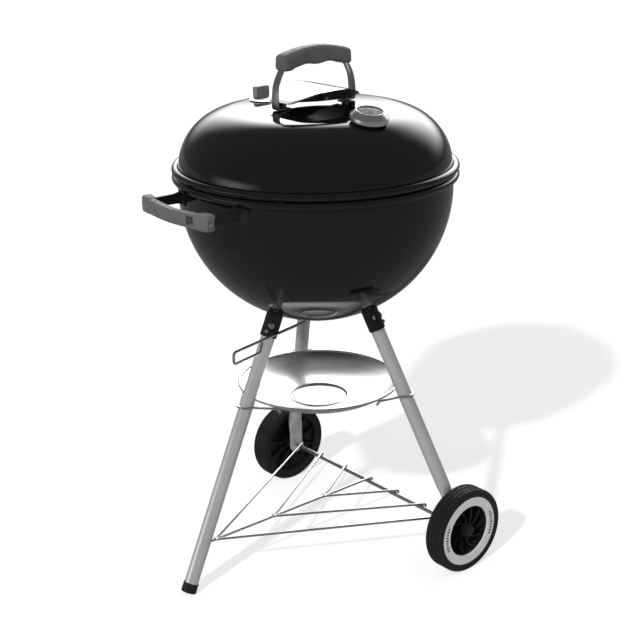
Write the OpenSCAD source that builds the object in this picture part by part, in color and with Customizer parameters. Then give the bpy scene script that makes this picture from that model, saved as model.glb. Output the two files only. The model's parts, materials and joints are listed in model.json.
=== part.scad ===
// Kettle charcoal grill on a tripod stand with two wheels.
// Millimetres, +Z up, floor at z = 0. The front leg stands towards -Y and the axle runs along X.

/* [Kettle] */
// Outer radius of the rolled rims of bowl and lid
rim_r = 240; // [236:1:244]
// Outer radius of the bowl's spherical wall
bowl_r = 230.5; // [229:0.5:232]
// Height of the joint between lid and bowl
seam_z = 697; // [690:1:705]
// Radius of a rolled rim's section
bead_r = 6.5; // [6:0.5:7]
// Steel thickness of bowl and lid
wall = 1.2; // [1:0.1:1.5]
// Outer radius of the lid's wall
lid_r = 228.8; // [228:0.2:229.4]
// Radius of the lid's rounded shoulder
shoulder_r = 97.5; // [94:0.5:100]
// Radius of the lid's flat crown
crown_r = 2000; // [1600:50:2400]

/* [Stand] */
// Angle of the legs from vertical, in degrees
splay = 24; // [23.5:0.1:24.5]
// Distance of a leg's axis from the kettle's axis at the socket's mouth
socket_r = 110; // [109:0.5:111]
// Height of the socket's mouth
socket_z = 423; // [421:1:425]
// Radius of a leg tube
leg_rad = 12; // [11.5:0.1:12.2]
// Direction of the right leg from +X, in degrees
rear_angle = 28; // [27:0.5:29]
// Distance of the axle behind the kettle's axis
axle_back = 120; // [119:0.5:121]

/* [Wheels] */
// Outer radius of a wheel
wheel_r = 76; // [75:0.5:77]
// Width of a tyre
tyre_w = 34; // [32:1:36]
// Distance of a tyre's inner face from the middle
wheel_in = 227; // [226.5:0.5:229]

/* [Ash pan and grates] */
// Radius of the ash pan's rim
pan_r = 142; // [138:0.5:142.5]
// Height of the ash pan's rim
pan_z = 318; // [316:1:319]
// Height of the cooking grate
cook_z = 668; // [664:1:670]
// Height of the charcoal grate
coal_z = 520; // [518:1:524]

/* [Ash sweep] */
// Length of the sweep's lever
lever_len = 222; // [200:1:230]
// Direction of the lever at rest, in degrees from +X
lever_angle = -76; // [-80:1:-70]

/* [Handles and fittings] */
// Half length of the lid's grip
grip_half = 70; // [68:1:76]
// Height of the top of the lid's grip
grip_top = 900; // [895:1:905]
// Half length of the side handle's grip
side_half = 90; // [84:1:94]
// Reach of the side handle from the kettle's axis
side_reach = 298; // [290:1:305]
// Radius of the lid's damper disc
damper_r = 45; // [42:1:46]
// Radius of the thermometer's case
thermo_r = 31; // [28:1:32]

/* [Hidden] */
$fn = 96;

// Rims
bead_c = rim_r - bead_r;
bowl_bead_z = seam_z - bead_r - 0.2;
lid_bead_z = seam_z + bead_r + 0.2;
// Bowl: a sphere below its centre, a short cylinder above
bowl_cz = 669.3;
bowl_bottom = bowl_cz - bowl_r;
// Lid: shoulder circle and crown circle meet without a kink
lid_cz = lid_bead_z - 2;
shoulder_c = lid_r - shoulder_r;
crown_cz = lid_cz - sqrt(pow(crown_r - shoulder_r, 2) - pow(shoulder_c, 2));
crown_top = crown_cz + crown_r;
join_angle = acos(shoulder_c / (crown_r - shoulder_r));
// Vents and sweep
vent_in = 36;
vent_out = 78;
vent_w = 24;
blade_out = 86;
blade_half = 22;
shaft_r = 6;
lever_z = bowl_bottom - 4.8;
lever_wire = 2.4;
lever_loop = 20;
// Stand
leg_wall = 1.2;
socket_rad = 14.5;
leg_top_z = 448;
button_z = 431;
button_turn = 30;
button_rad = 3;
screw_z = 442;
screw_turn = 50;
slot_turn = -55;
cap_rad = 13.4;
cap_len = 17;
cap_base_z = 3.5;
axle_rad = 4;
axle_z = wheel_r;
flat_x = 216;
flat_t = 5;
flat_half = 15;
flat_top_z = 118;
plug_z = 144;
// Wheels, measured along the axle from the tyre's inner face
tyre_in = 63;
hub_rad = 13;
hub_in = -3;
hub_out = 30;
hub_cap_top = 35;
// Wires
rack_wire = 2.2;
clip_wire = 2;
pan_bead = 2.2;
ring_wire = 3;
cook_r = 218;
coal_r = 166;
rack_z = axle_z + axle_rad + rack_wire;
// Side handle
side_z = 656;
side_h = 26;
side_bow = 410;
arm_x = 78;
arm_t = 5;
arm_h = 18;
// Lid fittings
foot_y = 66;
foot_z = crown_top + 1;
strap_t = 3;
strap_w = 16;
shield_end = 75;
shield_top = crown_top + 31;
shield_rise = 19;
thermo_tilt = 11;
thermo_turn = -5.5;
damper_dist = 96;
damper_turn = 183.6;
damper_hole_dist = 27;
damper_hole_r = 10;
rivet_r = 3;
// The frame's origin is the middle of the base, so the kettle's axis stands off it
cap_y = leg_r(cap_base_z) + cap_rad * cos(splay);
axis_y = (cap_y - rim_r) / 2;

// Distance of a leg's axis from the kettle's axis at height z
function leg_r(z) = socket_r + (socket_z - z) * tan(splay);

// Points of an arc about (x, y) from angle a to angle b
function arc(x, y, r, a, b, n) =
    [for (i = [0:n]) [x + r * cos(a + (b - a) * i / n), y + r * sin(a + (b - a) * i / n)]];

// Places children on the kettle's axis
module on_axis() {
    translate([0, axis_y, 0]) children();
}

// Places children on a leg's axis at height z, +Z up the leg and +X outwards
module on_leg(angle, z) {
    on_axis() rotate([0, 0, angle]) translate([leg_r(z), 0, z]) rotate([0, -splay, 0]) children();
}

// Places children on the right wheel, +Z outwards along the axle
module on_wheel() {
    translate([wheel_in, axis_y + axle_back, axle_z]) rotate([0, 90, 0]) children();
}

module on_left() {
    mirror([1, 0, 0]) children();
}

// Places children on the lid where the thermometer stands, +Z along its axis
module on_thermo() {
    on_axis() rotate([0, 0, thermo_turn])
        translate([shoulder_c + shoulder_r * sin(thermo_tilt), 0, lid_cz + shoulder_r * cos(thermo_tilt)])
        rotate([0, thermo_tilt, 0]) children();
}

// Places children on the lid where the damper turns, +Z along its axis and +X outwards
module on_damper() {
    tilt = asin(damper_dist / crown_r);
    on_axis() rotate([0, 0, damper_turn])
        translate([damper_dist, 0, crown_cz + crown_r * cos(tilt)]) rotate([0, tilt, 0]) children();
}

// Round bar from a to b
module rod(a, b, r) {
    d = b - a;
    translate(a) rotate([0, acos(d[2] / norm(d)), atan2(d[1], d[0])]) cylinder(r = r, h = norm(d));
}

// Bent wire through the points
module wire(points, r) {
    for (i = [0:len(points) - 2]) rod(points[i], points[i + 1], r);
    for (p = points) translate(p) sphere(r * 1.04);
}

module ring(outer, inner, h) {
    difference() {
        cylinder(r = outer, h = h);
        translate([0, 0, -1]) cylinder(r = inner, h = h + 2);
    }
}

// Wire ring of radius r
module hoop(r, wire_r) {
    rotate_extrude() translate([r, 0]) circle(wire_r);
}

// Section of a rolled rim, open inside where side is 1 for the upper half and -1 for the lower
module bead_section(side) {
    difference() {
        circle(bead_r);
        circle(bead_r - wall);
        translate([-bead_r - 1, side > 0 ? 0.5 : -3.5]) square([4, 3]);
    }
}

// Everything inside the bowl's outer surface
module bowl_solid(grow) {
    translate([0, 0, bowl_cz]) sphere(bowl_r + grow);
    translate([0, 0, bowl_cz]) cylinder(r = bowl_r + grow, h = 60);
}

// Outer outline of the lid from the rim to the top, moved inwards by d
function lid_outline(d) = concat(
    arc(shoulder_c, lid_cz, shoulder_r - d, 0, join_angle, 24),
    arc(0, crown_cz, crown_r - d, join_angle + 0.4, 90, 10)
);

// Everything inside the lid's outer surface
module lid_solid() {
    rotate_extrude() polygon(concat([[0, lid_cz]], lid_outline(0)));
}

module vent_hole(angle) {
    rotate([0, 0, angle]) linear_extrude(30, center = true) {
        translate([vent_in + vent_w / 2, -vent_w / 2]) square([vent_out - vent_in - vent_w, vent_w]);
        translate([vent_in + vent_w / 2, 0]) circle(vent_w / 2);
        translate([vent_out - vent_w / 2, 0]) circle(vent_w / 2);
    }
}

// ---------------------------------------------------------------- bowl and its fittings

module bowl() {
    color("#16171a") on_axis() difference() {
        rotate_extrude() {
            polygon(concat(
                arc(0, bowl_cz, bowl_r, -90, 0, 40), [[bowl_r, bowl_bead_z]],
                [[bowl_r - wall, bowl_bead_z]], arc(0, bowl_cz, bowl_r - wall, 0, -90, 40)
            ));
            translate([bead_c, bowl_bead_z]) bead_section(1);
        }
        translate([0, 0, bowl_bottom]) for (k = [0:2]) vent_hole(lever_angle + 60 + 120 * k);
        translate([0, 0, bowl_bottom - 5]) cylinder(r = shaft_r + 0.06, h = 20);
    }
}

// Welded rests for both grates
module grate_tabs() {
    tab = 16;
    color("#2a2b2e") on_axis() for (k = [0:2]) rotate([0, 0, 30 + 120 * k]) {
        intersection() {
            translate([150, -tab / 2, coal_z - 6.3]) cube([40, tab, 3]);
            translate([0, 0, bowl_cz]) sphere(bowl_r - wall);
        }
        intersection() {
            translate([210, -tab / 2, cook_z - 6.3]) cube([40, tab, 3]);
            translate([0, 0, bowl_cz]) sphere(bowl_r - wall);
        }
    }
}

module socket_screw_cut(angle, r) {
    on_leg(angle, screw_z) rotate([0, 0, screw_turn]) rotate([0, 90, 0]) cylinder(r = r, h = 30);
}

module button_cut(angle, r) {
    on_leg(angle, button_z) rotate([0, 0, button_turn]) rotate([0, 90, 0]) cylinder(r = r, h = 30);
}

module socket(angle) {
    length = 60;
    color("#1b1c1f") difference() {
        on_leg(angle, socket_z) cylinder(r = socket_rad, h = length);
        on_leg(angle, socket_z - 2) cylinder(r = leg_rad + 0.15, h = length + 20);
        on_axis() bowl_solid(0);
        socket_screw_cut(angle, 2.6);
        button_cut(angle, button_rad + 0.06);
        on_leg(angle, screw_z + 1) rotate([0, 0, slot_turn])
            translate([leg_rad, -6, -3]) cube([6, 12, 7]);
    }
}

module socket_screws() {
    color("#c9cacc") for (angle = [-90, rear_angle, 180 - rear_angle])
        on_leg(angle, screw_z) rotate([0, 0, screw_turn]) rotate([0, 90, 0]) {
            translate([0, 0, leg_rad - 4]) cylinder(r = 2.5, h = socket_rad - leg_rad + 6);
            translate([0, 0, socket_rad + 0.1]) cylinder(r1 = 5.6, r2 = 4.4, h = 2.6);
        }
}

// ---------------------------------------------------------------- legs, buttons, foot, axle

module leg_front() {
    end_z = cap_base_z + 3;
    color("#b9babc") difference() {
        on_leg(-90, end_z) ring(leg_rad, leg_rad - leg_wall, (leg_top_z - end_z) / cos(splay));
        button_cut(-90, button_rad + 0.06);
        socket_screw_cut(-90, 2.6);
    }
}

// Tube on the right whose lower end is pressed flat around the axle
module pressed_leg() {
    mid_y = axis_y + axle_back;
    end_z = 104;
    low_z = 60;
    difference() {
        union() {
            on_leg(rear_angle, end_z) cylinder(r = leg_rad, h = (leg_top_z - end_z) / cos(splay));
            translate([flat_x, mid_y - flat_half, axle_z]) cube([flat_t, 2 * flat_half, flat_top_z - axle_z]);
            translate([flat_x, mid_y, axle_z]) rotate([0, 90, 0]) cylinder(r = flat_half, h = flat_t);
        }
        on_leg(rear_angle, plug_z) cylinder(r = leg_rad - leg_wall, h = leg_top_z);
        translate([flat_x + flat_t, mid_y - 40, low_z]) cube([60, 80, 100]);
        translate([flat_x - 60, mid_y - 40, low_z]) cube([60, 80, flat_top_z - 4 - low_z]);
        translate([flat_x - 10, mid_y, axle_z]) rotate([0, 90, 0]) cylinder(r = axle_rad + 0.06, h = 30);
    }
}

module leg_right() {
    color("#b9babc") difference() {
        pressed_leg();
        button_cut(rear_angle, button_rad + 0.06);
        socket_screw_cut(rear_angle, 2.6);
    }
}

module leg_left() {
    color("#b9babc") difference() {
        on_left() pressed_leg();
        button_cut(180 - rear_angle, button_rad + 0.06);
        socket_screw_cut(180 - rear_angle, 2.6);
    }
}

module button(angle) {
    color("#d8d9da") on_leg(angle, button_z) rotate([0, 0, button_turn]) rotate([0, 90, 0]) {
        translate([0, 0, leg_rad - leg_wall - 3]) cylinder(r = button_rad, h = 9.5);
        translate([0, 0, leg_rad - leg_wall - 3]) cylinder(r = 4, h = 1.5);
    }
}

// Leaf that carries the button inside the tube
module button_spring(angle) {
    color("#9a9ca0") on_leg(angle, button_z) rotate([0, 0, button_turn]) {
        translate([leg_rad - leg_wall - 4, -3, -34]) cube([0.9, 6, 40]);
        translate([-2, -3, -34]) cube([leg_rad - leg_wall - 2, 6, 0.9]);
    }
}

// Plastic shoe, trimmed level where it rests on the floor
module foot_cap() {
    color("#141416") difference() {
        on_leg(-90, cap_base_z) difference() {
            cylinder(r = cap_rad, h = cap_len);
            translate([0, 0, 3 / cos(splay)]) cylinder(r = leg_rad + 0.05, h = cap_len);
        }
        translate([-30, -cap_y + axis_y - 30, -20]) cube([60, 90, 20]);
    }
}

module axle() {
    half = wheel_in + hub_out + 2.2;
    color("#a8a9ac") translate([-half, axis_y + axle_back, axle_z]) rotate([0, 90, 0])
        cylinder(r = axle_rad, h = 2 * half);
}

module axle_washers() {
    gap = wheel_in + hub_in - flat_x - flat_t;
    color("#a8a9ac") for (side = [0, 1]) mirror([side, 0, 0])
        translate([flat_x + flat_t + 0.3, axis_y + axle_back, axle_z]) rotate([0, 90, 0])
        ring(9, axle_rad + 0.1, gap - 0.7);
}

module push_nuts() {
    color("#c9cacc") for (side = [0, 1]) mirror([side, 0, 0])
        on_wheel() translate([0, 0, hub_out + 0.4]) ring(7.2, axle_rad, 1.4);
}

// Welded wire rack between the axle and the front leg
module bottom_rack() {
    front = -leg_r(rack_z) + leg_rad / cos(splay) - 1.2;
    back = axle_back + axle_rad + rack_wire;
    color("#b4b5b8") on_axis() {
        wire([[0, front, rack_z], [0, back, rack_z], [0, back, rack_z - 10]], rack_wire);
        for (side = [-1, 1]) {
            wire([[side * 2, -232, rack_z], [side * 206, back, rack_z], [side * 206, back, rack_z - 10]],
                rack_wire);
            wire([[side * 1, -105, rack_z], [side * 145, back, rack_z], [side * 145, back, rack_z - 10]],
                rack_wire);
            wire([[side * 1, 12, rack_z], [side * 73, back, rack_z], [side * 73, back, rack_z - 10]],
                rack_wire);
        }
    }
}

// Wire clip that hugs a leg and carries the ash pan's rim
module pan_clip(angle) {
    z = pan_z - pan_bead * 2 - clip_wire - 0.35;
    axis_r = leg_r(z);
    loop = leg_rad / cos(splay) + clip_wire + 0.3;
    color("#b4b5b8") on_axis() rotate([0, 0, angle]) {
        translate([axis_r, 0, z]) rotate([0, 0, -90]) rotate_extrude(angle = 180)
            translate([loop, 0]) circle(clip_wire);
        for (side = [-1, 1])
            wire([[axis_r, side * loop, z], [131, side * 48, z], [126, side * 50, z - 7]], clip_wire);
    }
}

// ---------------------------------------------------------------- side handle

// Welded arms with their feet on the bowl
module handle_arms() {
    color("#101012") on_axis() difference() {
        for (side = [-1, 1]) {
            translate([side * arm_x - arm_t / 2, -side_reach + 8, side_z + 4]) cube([arm_t, 100, arm_h]);
            intersection() {
                translate([side * arm_x - 14, -260, side_z]) cube([28, 80, side_h]);
                bowl_solid(2.5);
            }
        }
        bowl_solid(0);
        for (side = [-1, 1]) side_screw_cut(side, 2.1);
    }
}

module side_screw_cut(side, r) {
    translate([side * arm_x, -side_reach + 16, side_z + 12]) rotate([0, 90, 0])
        cylinder(r = r, h = 60, center = true);
}

// Bowed grip with a recess and a screw hole in its front
module side_grip() {
    recess_x = 53;
    hole_x = -38;
    color("#58595c") on_axis() difference() {
        translate([0, 0, side_z]) linear_extrude(side_h) intersection() {
            difference() {
                translate([0, side_bow - side_reach]) circle(side_bow);
                translate([0, side_bow - side_reach]) circle(side_bow - 18);
            }
            translate([-side_half, -side_reach - 5]) square([2 * side_half, 40]);
        }
        for (side = [-1, 1]) {
            translate([side * arm_x - arm_t / 2 - 0.1, -side_reach + 7.9, side_z + 3.9])
                cube([arm_t + 0.2, 40, arm_h + 0.2]);
            side_screw_cut(side, 2.1);
        }
        translate([recess_x - 9, -side_reach - 8, side_z + 6]) cube([18, 12.5, 14]);
        translate([hole_x, -side_reach - 8, side_z + side_h / 2]) rotate([-90, 0, 0]) cylinder(r = 2.2, h = 16);
    }
}

// Cross screws that hold the grip on its arms
module side_grip_screws() {
    color("#8f9194") on_axis() for (side = [-1, 1])
        translate([side * arm_x, -side_reach + 16, side_z + 12]) rotate([0, side * 90, 0]) {
            translate([0, 0, -8]) cylinder(r = 2, h = side_half - arm_x + 8);
            translate([0, 0, side_half - arm_x + 0.1]) cylinder(r = 3.6, h = 2);
        }
}

// ---------------------------------------------------------------- wheels

module tyre_right() {
    groove = 1.6;
    color("#1c1c1e") on_wheel() rotate_extrude() difference() {
        union() {
            translate([tyre_in, 0]) square([wheel_r - tyre_in - 5, tyre_w]);
            translate([tyre_in, 5]) square([wheel_r - tyre_in, tyre_w - 10]);
            translate([wheel_r - 5, 5]) circle(5);
            translate([wheel_r - 5, tyre_w - 5]) circle(5);
        }
        for (k = [1:3]) translate([wheel_r - groove, k * tyre_w / 4 - 1]) square([3, 2]);
    }
}

module wheel_right() {
    rim_out = tyre_in - 0.1;
    face = tyre_w - 4;
    color("#131315") on_wheel() difference() {
        union() {
            rotate_extrude() polygon([
                [56, 1], [rim_out, 1], [rim_out, face], [44, face], [40, 15],
                [hub_rad - 1, 15], [hub_rad - 1, 12], [43, 12], [47, face - 3], [56, face - 3]
            ]);
            translate([0, 0, hub_in]) cylinder(r = hub_rad, h = hub_out - hub_in);
            for (k = [0:7]) rotate([0, 0, 45 * k]) translate([hub_rad - 1, -0.9, 2]) cube([44, 1.8, 11]);
            for (k = [0:8]) rotate([0, 0, 40 * k]) translate([hub_rad - 2, 0, 14])
                rotate([28, 0, 0]) cube([31, 2.4, 11]);
        }
        translate([0, 0, hub_in - 5]) cylinder(r = axle_rad + 0.06, h = hub_out - hub_in + 20);
    }
}

module whitewall_right() {
    color("#e9e9e6") on_wheel() translate([0, 0, tyre_w - 4]) ring(tyre_in - 0.2, 46, 3.6);
}

module hub_cap_right() {
    color("#19191b") on_wheel() difference() {
        translate([0, 0, hub_out]) cylinder(r = 10.5, h = hub_cap_top - hub_out);
        translate([0, 0, hub_out - 1]) cylinder(r = 8.3, h = 4);
    }
}

module wheel_left() { on_left() wheel_right(); }
module tyre_left() { on_left() tyre_right(); }
module whitewall_left() { on_left() whitewall_right(); }
module hub_cap_left() { on_left() hub_cap_right(); }

// ---------------------------------------------------------------- ash pan and grates

// Shallow dish with a rolled rim and a raised ring around its flat floor
module ash_pan() {
    t = 1;
    floor_r = 54;
    drop = 30;
    lip_r = pan_r - pan_bead;
    dish = (pow(lip_r - floor_r, 2) + drop * drop) / (2 * drop);
    base_z = pan_z - pan_bead - drop;
    end = asin((lip_r - floor_r) / dish);
    under = asin(t / pan_bead);
    trim_top = asin(pan_bead / dish);
    trim_under = asin(pan_bead * cos(under) / dish);
    color("#c4c5c7") on_axis() rotate_extrude() polygon(concat(
        [[0, base_z - 2], [floor_r - 5, base_z - 2], [floor_r - 3, base_z + 1.5]],
        arc(floor_r, base_z + dish, dish, -90, -90 + end - trim_top, 18),
        arc(lip_r, pan_z - pan_bead, pan_bead, 180 + end, -180 + end + under, 20),
        arc(floor_r, base_z + dish, dish + t, -90 + end - trim_under, -90, 18),
        [[floor_r - 2, base_z + 1.5 - t], [floor_r - 4.4, base_z - 2 - t], [0, base_z - 2 - t]]
    ));
}

// Parallel wires of a round grate, welded into its ring, over a cross wire at each side
module grate_wires(r, z, pitch, wire_r, cross_x) {
    count = floor((r - 8) / pitch);
    rise = 2.2;
    cross_r = 2.2;
    translate([0, 0, z]) {
        for (k = [-count:count]) {
            half = sqrt(r * r - pow(k * pitch, 2)) - 0.5;
            translate([0, k * pitch, rise]) rotate([0, 90, 0]) cylinder(r = wire_r, h = 2 * half, center = true);
        }
        for (x = [-cross_x, cross_x]) translate([x, 0, rise - wire_r - cross_r - 0.05]) rotate([90, 0, 0])
            cylinder(r = cross_r, h = 2 * sqrt(r * r - x * x) - 1, center = true);
    }
}

module charcoal_grate() {
    color("#7d7f83") on_axis() grate_wires(coal_r, coal_z, 24, 2.6, 70);
}

module charcoal_ring() {
    color("#7d7f83") on_axis() translate([0, 0, coal_z]) hoop(coal_r, ring_wire);
}

module cooking_grate() {
    color("#c2c3c5") on_axis() grate_wires(cook_r, cook_z, 20, 2, 90);
}

module cooking_ring() {
    color("#c2c3c5") on_axis() translate([0, 0, cook_z]) hoop(cook_r, ring_wire);
}

// Wire handles that stand up from the cooking grate's ring
module grate_handles() {
    half = 30;
    foot_x = sqrt(cook_r * cook_r - half * half) - 2;
    top_x = 200;
    foot = cook_z + ring_wire + 1.9;
    top = cook_z + 18;
    color("#c2c3c5") on_axis() for (side = [-1, 1]) wire([
        [side * foot_x, -half, foot], [side * top_x, -half, top],
        [side * top_x, half, top], [side * foot_x, half, foot]
    ], 2.3);
}

// ---------------------------------------------------------------- ash sweep

// Three curved blades on the bowl's floor
module sweep_blades() {
    hub_h = 6;
    color("#8b8d90") on_axis() difference() {
        union() {
            intersection() {
                translate([0, 0, bowl_cz]) difference() {
                    sphere(bowl_r - wall - 0.4);
                    sphere(bowl_r - wall - 1.8);
                }
                translate([0, 0, bowl_bottom]) linear_extrude(40) for (k = [0:2])
                    rotate([0, 0, lever_angle + 120 * k]) polygon([
                        [0, 0], [blade_out * cos(blade_half), -blade_out * sin(blade_half)],
                        [blade_out, 0], [blade_out * cos(blade_half), blade_out * sin(blade_half)]
                    ]);
            }
            translate([0, 0, bowl_bottom + wall + 0.9]) cylinder(r = 12, h = hub_h);
        }
        translate([0, 0, bowl_bottom - 5]) cylinder(r = shaft_r, h = 40);
    }
}

module sweep_shaft() {
    color("#9a9ca0") on_axis() translate([0, 0, lever_z - 7]) cylinder(r = shaft_r, h = 26);
}

// Wire lever with a closed hand loop at its end
module sweep_lever() {
    color("#c9cacc") on_axis() translate([0, 0, lever_z]) rotate([0, 0, lever_angle]) {
        translate([0, 0, -3]) ring(11, shaft_r, 6);
        wire([
            [9, 0, 0], [lever_len - 5, 0, 0], [lever_len, 0, -5], [lever_len, 0, 5 - lever_loop],
            [lever_len - 5, 0, -lever_loop], [lever_len - 64, 0, -lever_loop], [lever_len - 72, 0, 0]
        ], lever_wire);
    }
}

module sweep_nut() {
    color("#c9cacc") on_axis() translate([0, 0, lever_z - 7]) difference() {
        cylinder(r = 9, h = 3.8, $fn = 6);
        translate([0, 0, -1]) cylinder(r = shaft_r, h = 6);
    }
}

// ---------------------------------------------------------------- lid

module lid_shell() {
    inner = lid_outline(wall);
    color("#16171a") difference() {
        on_axis() rotate_extrude() {
            polygon(concat(lid_outline(0), [for (i = [len(inner) - 1:-1:0]) inner[i]]));
            translate([bead_c, lid_bead_z]) bead_section(-1);
        }
        on_thermo() cylinder(r = 4.3, h = 20, center = true);
        on_damper() {
            cylinder(r = rivet_r + 0.1, h = 20, center = true);
            for (k = [0:3]) rotate([0, 0, 45 + 90 * k]) translate([damper_hole_dist, 0, 0])
                cylinder(r = damper_hole_r, h = 20, center = true);
        }
        on_axis() for (side = [-1, 1]) translate([0, side * foot_y, crown_top])
            cylinder(r = 3.1, h = 30, center = true);
    }
}

// Centre line of the handle's strap, from the middle of the grip to one foot
strap_half = [
    [0, foot_z + 75], [54, foot_z + 73], [64, foot_z + 64], [72.5, foot_z + 54], [78.5, foot_z + 42],
    [81.5, foot_z + 28], [82, foot_z + 14], [79, foot_z], [57, foot_z]
];
strap_line = concat(
    [for (i = [len(strap_half) - 1:-1:1]) [-strap_half[i][0], strap_half[i][1]]], strap_half
);

// Unit normal of the stretch from point i to the next one
function normal(p, i) =
    let (d = p[i + 1] - p[i]) [-d[1], d[0]] / norm(d);

// The line's points moved sideways by d, with mitred corners
function beside(p, d) = [for (i = [0:len(p) - 1])
    let (a = normal(p, max(i - 1, 0)), b = normal(p, min(i, len(p) - 2)))
    p[i] + (a + b) * d / (1 + a * b)
];

module strap_body(t, w) {
    left = beside(strap_line, t / 2);
    right = beside(strap_line, -t / 2);
    rotate([90, 0, 90]) linear_extrude(w, center = true)
        polygon(concat(left, [for (i = [len(right) - 1:-1:0]) right[i]]));
}

module lid_strap() {
    color("#a3a4a6") on_axis() difference() {
        strap_body(strap_t, strap_w);
        for (side = [-1, 1]) translate([0, side * foot_y, foot_z]) cylinder(r = 3.1, h = 10, center = true);
    }
}

// Grip with a high back and shallow finger waves below
module lid_grip() {
    rise = 11;
    bottom = grip_top - 31;
    back = (grip_half * grip_half + rise * rise) / (2 * rise);
    sweep = asin(grip_half / back);
    color("#58595c") on_axis() difference() {
        rotate([90, 0, 90]) linear_extrude(30, center = true) polygon(concat(
            arc(0, grip_top - back, back, 90 - sweep, 90 + sweep, 16),
            [[-grip_half, bottom - 1.5], [-56, bottom - 1.5], [-42, bottom + 3], [-22, bottom + 2],
             [0, bottom], [22, bottom + 2], [42, bottom + 3], [56, bottom - 1.5], [grip_half, bottom - 1.5]]
        ));
        strap_body(strap_t + 0.3, strap_w + 0.3);
    }
}

// Arched sheet under the grip, widest in the middle
module heat_shield() {
    t = 1.2;
    half_w = 60;
    taper = 32;
    arch = (pow(shield_end, 2) + pow(shield_rise, 2)) / (2 * shield_rise);
    leaf = (pow(shield_end, 2) + taper * taper) / (2 * taper);
    tab_z = foot_z + strap_t / 2 + 0.1;
    color("#c8c9cb") on_axis() {
        intersection() {
            translate([0, 0, shield_top - arch]) rotate([0, 90, 0]) difference() {
                cylinder(r = arch, h = 160, center = true);
                cylinder(r = arch - t, h = 170, center = true);
            }
            translate([0, 0, foot_z]) linear_extrude(60) intersection() {
                translate([half_w - leaf, 0]) circle(leaf);
                translate([leaf - half_w, 0]) circle(leaf);
                square([160, 2 * shield_end], center = true);
            }
        }
        for (side = [-1, 1]) translate([-7, side * (shield_end + t / 2) - t / 2, tab_z])
            cube([14, t, shield_top - shield_rise - tab_z - 0.2]);
    }
}

// Nuts and studs of the handle's feet
module lid_nuts() {
    color("#c9cacc") on_axis() for (side = [-1, 1]) translate([0, side * foot_y, 0]) {
        translate([0, 0, foot_z + strap_t / 2 + 0.1]) cylinder(r = 5.6, h = 4, $fn = 6);
        translate([0, 0, crown_top - 4]) cylinder(r = 3, h = foot_z + 8 - crown_top);
        translate([0, 0, crown_top - wall - 5]) cylinder(r = 6, h = 2.6);
    }
}

// Hook inside the lid for hanging it on the bowl's rim
module lid_hook() {
    r = 2;
    color("#b4b5b8") on_axis() rotate([0, 0, 60])
        wire([[213.4, 0, 750], [200, 0, 744], [197, 0, 722], [203, 0, 714]], r);
}

// ---------------------------------------------------------------- thermometer

module thermo_case() {
    color("#b9babc") difference() {
        on_thermo() {
            rotate_extrude() polygon([
                [4.3, 2], [thermo_r - 4, 2], [thermo_r, 5], [thermo_r, 10], [24.5, 16], [23.5, 18],
                [21.5, 18.6], [20, 17.6], [20, 14], [4.3, 14]
            ]);
            rotate_extrude() translate([4.3, -2]) square([10, 4.5]);
        }
        on_axis() lid_solid();
    }
}

module thermo_dial() {
    color("#dedfe0") on_thermo() translate([0, 0, 14.2]) ring(19.8, 1.1, 0.6);
}

module thermo_lens() {
    color([0.85, 0.9, 0.95, 0.4]) on_thermo() translate([0, 0, 16.9]) cylinder(r = 19.8, h = 0.7);
}

module thermo_needle() {
    color("#1a1a1a") on_thermo() {
        translate([0, 0, 15.2]) cylinder(r = 2.2, h = 1);
        translate([-5, -0.8, 15.3]) cube([20, 1.6, 0.6]);
        translate([0, 0, 14.25]) cylinder(r = 1.04, h = 1.2);
    }
}

module thermo_stem() {
    color("#a8a9ac") on_thermo() {
        translate([0, 0, -9]) cylinder(r = 4, h = 22);
        translate([0, 0, -58]) cylinder(r = 2, h = 50);
    }
}

module thermo_nut() {
    color("#c9cacc") on_thermo() translate([0, 0, -7]) difference() {
        cylinder(r = 9, h = 4.8, $fn = 6);
        translate([0, 0, -1]) cylinder(r = 4, h = 8);
    }
}

// ---------------------------------------------------------------- damper

module damper_disc() {
    color("#c4c5c7") on_damper() difference() {
        translate([0, 0, 0.6]) cylinder(r = damper_r, h = 1.2);
        cylinder(r = rivet_r + 0.06, h = 20, center = true);
        for (k = [0:3]) rotate([0, 0, 45 + 90 * k]) translate([damper_hole_dist, 0, 0])
            cylinder(r = damper_hole_r, h = 20, center = true);
    }
}

module damper_tab() {
    color("#6a6b6e") on_damper() translate([37, 0, 1.8]) {
        translate([-5, -14, 0]) cube([10, 28, 17]);
        translate([-6, -12, 4]) cube([12, 24, 11]);
    }
}

module damper_rivet() {
    color("#a8a9ac") on_damper() {
        translate([0, 0, -3.6]) cylinder(r = rivet_r, h = 6);
        translate([0, 0, 2.1]) cylinder(r1 = 5.5, r2 = 3.5, h = 2);
        translate([0, 0, -3.6]) cylinder(r = 6.5, h = 1.8);
    }
}

// ---------------------------------------------------------------- nodes

bowl();
grate_tabs();
socket(-90);  // socket_front
socket(180 - rear_angle);  // socket_left
socket(rear_angle);  // socket_right
socket_screws();
leg_front();
leg_left();
leg_right();
button(-90);  // button_front
button(180 - rear_angle);  // button_left
button(rear_angle);  // button_right
button_spring(-90);  // button_spring_front
button_spring(180 - rear_angle);  // button_spring_left
button_spring(rear_angle);  // button_spring_right
foot_cap();
axle();
axle_washers();
push_nuts();
bottom_rack();
pan_clip(-90);  // pan_clip_front
pan_clip(180 - rear_angle);  // pan_clip_left
pan_clip(rear_angle);  // pan_clip_right
handle_arms();
side_grip();
side_grip_screws();
wheel_left();
wheel_right();
tyre_left();
tyre_right();
whitewall_left();
whitewall_right();
hub_cap_left();
hub_cap_right();
ash_pan();
charcoal_grate();
charcoal_ring();
cooking_grate();
cooking_ring();
grate_handles();
sweep_blades();
sweep_shaft();
sweep_lever();
sweep_nut();
lid_shell();
lid_strap();
lid_grip();
heat_shield();
lid_nuts();
lid_hook();
thermo_case();
thermo_dial();
thermo_lens();
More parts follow.
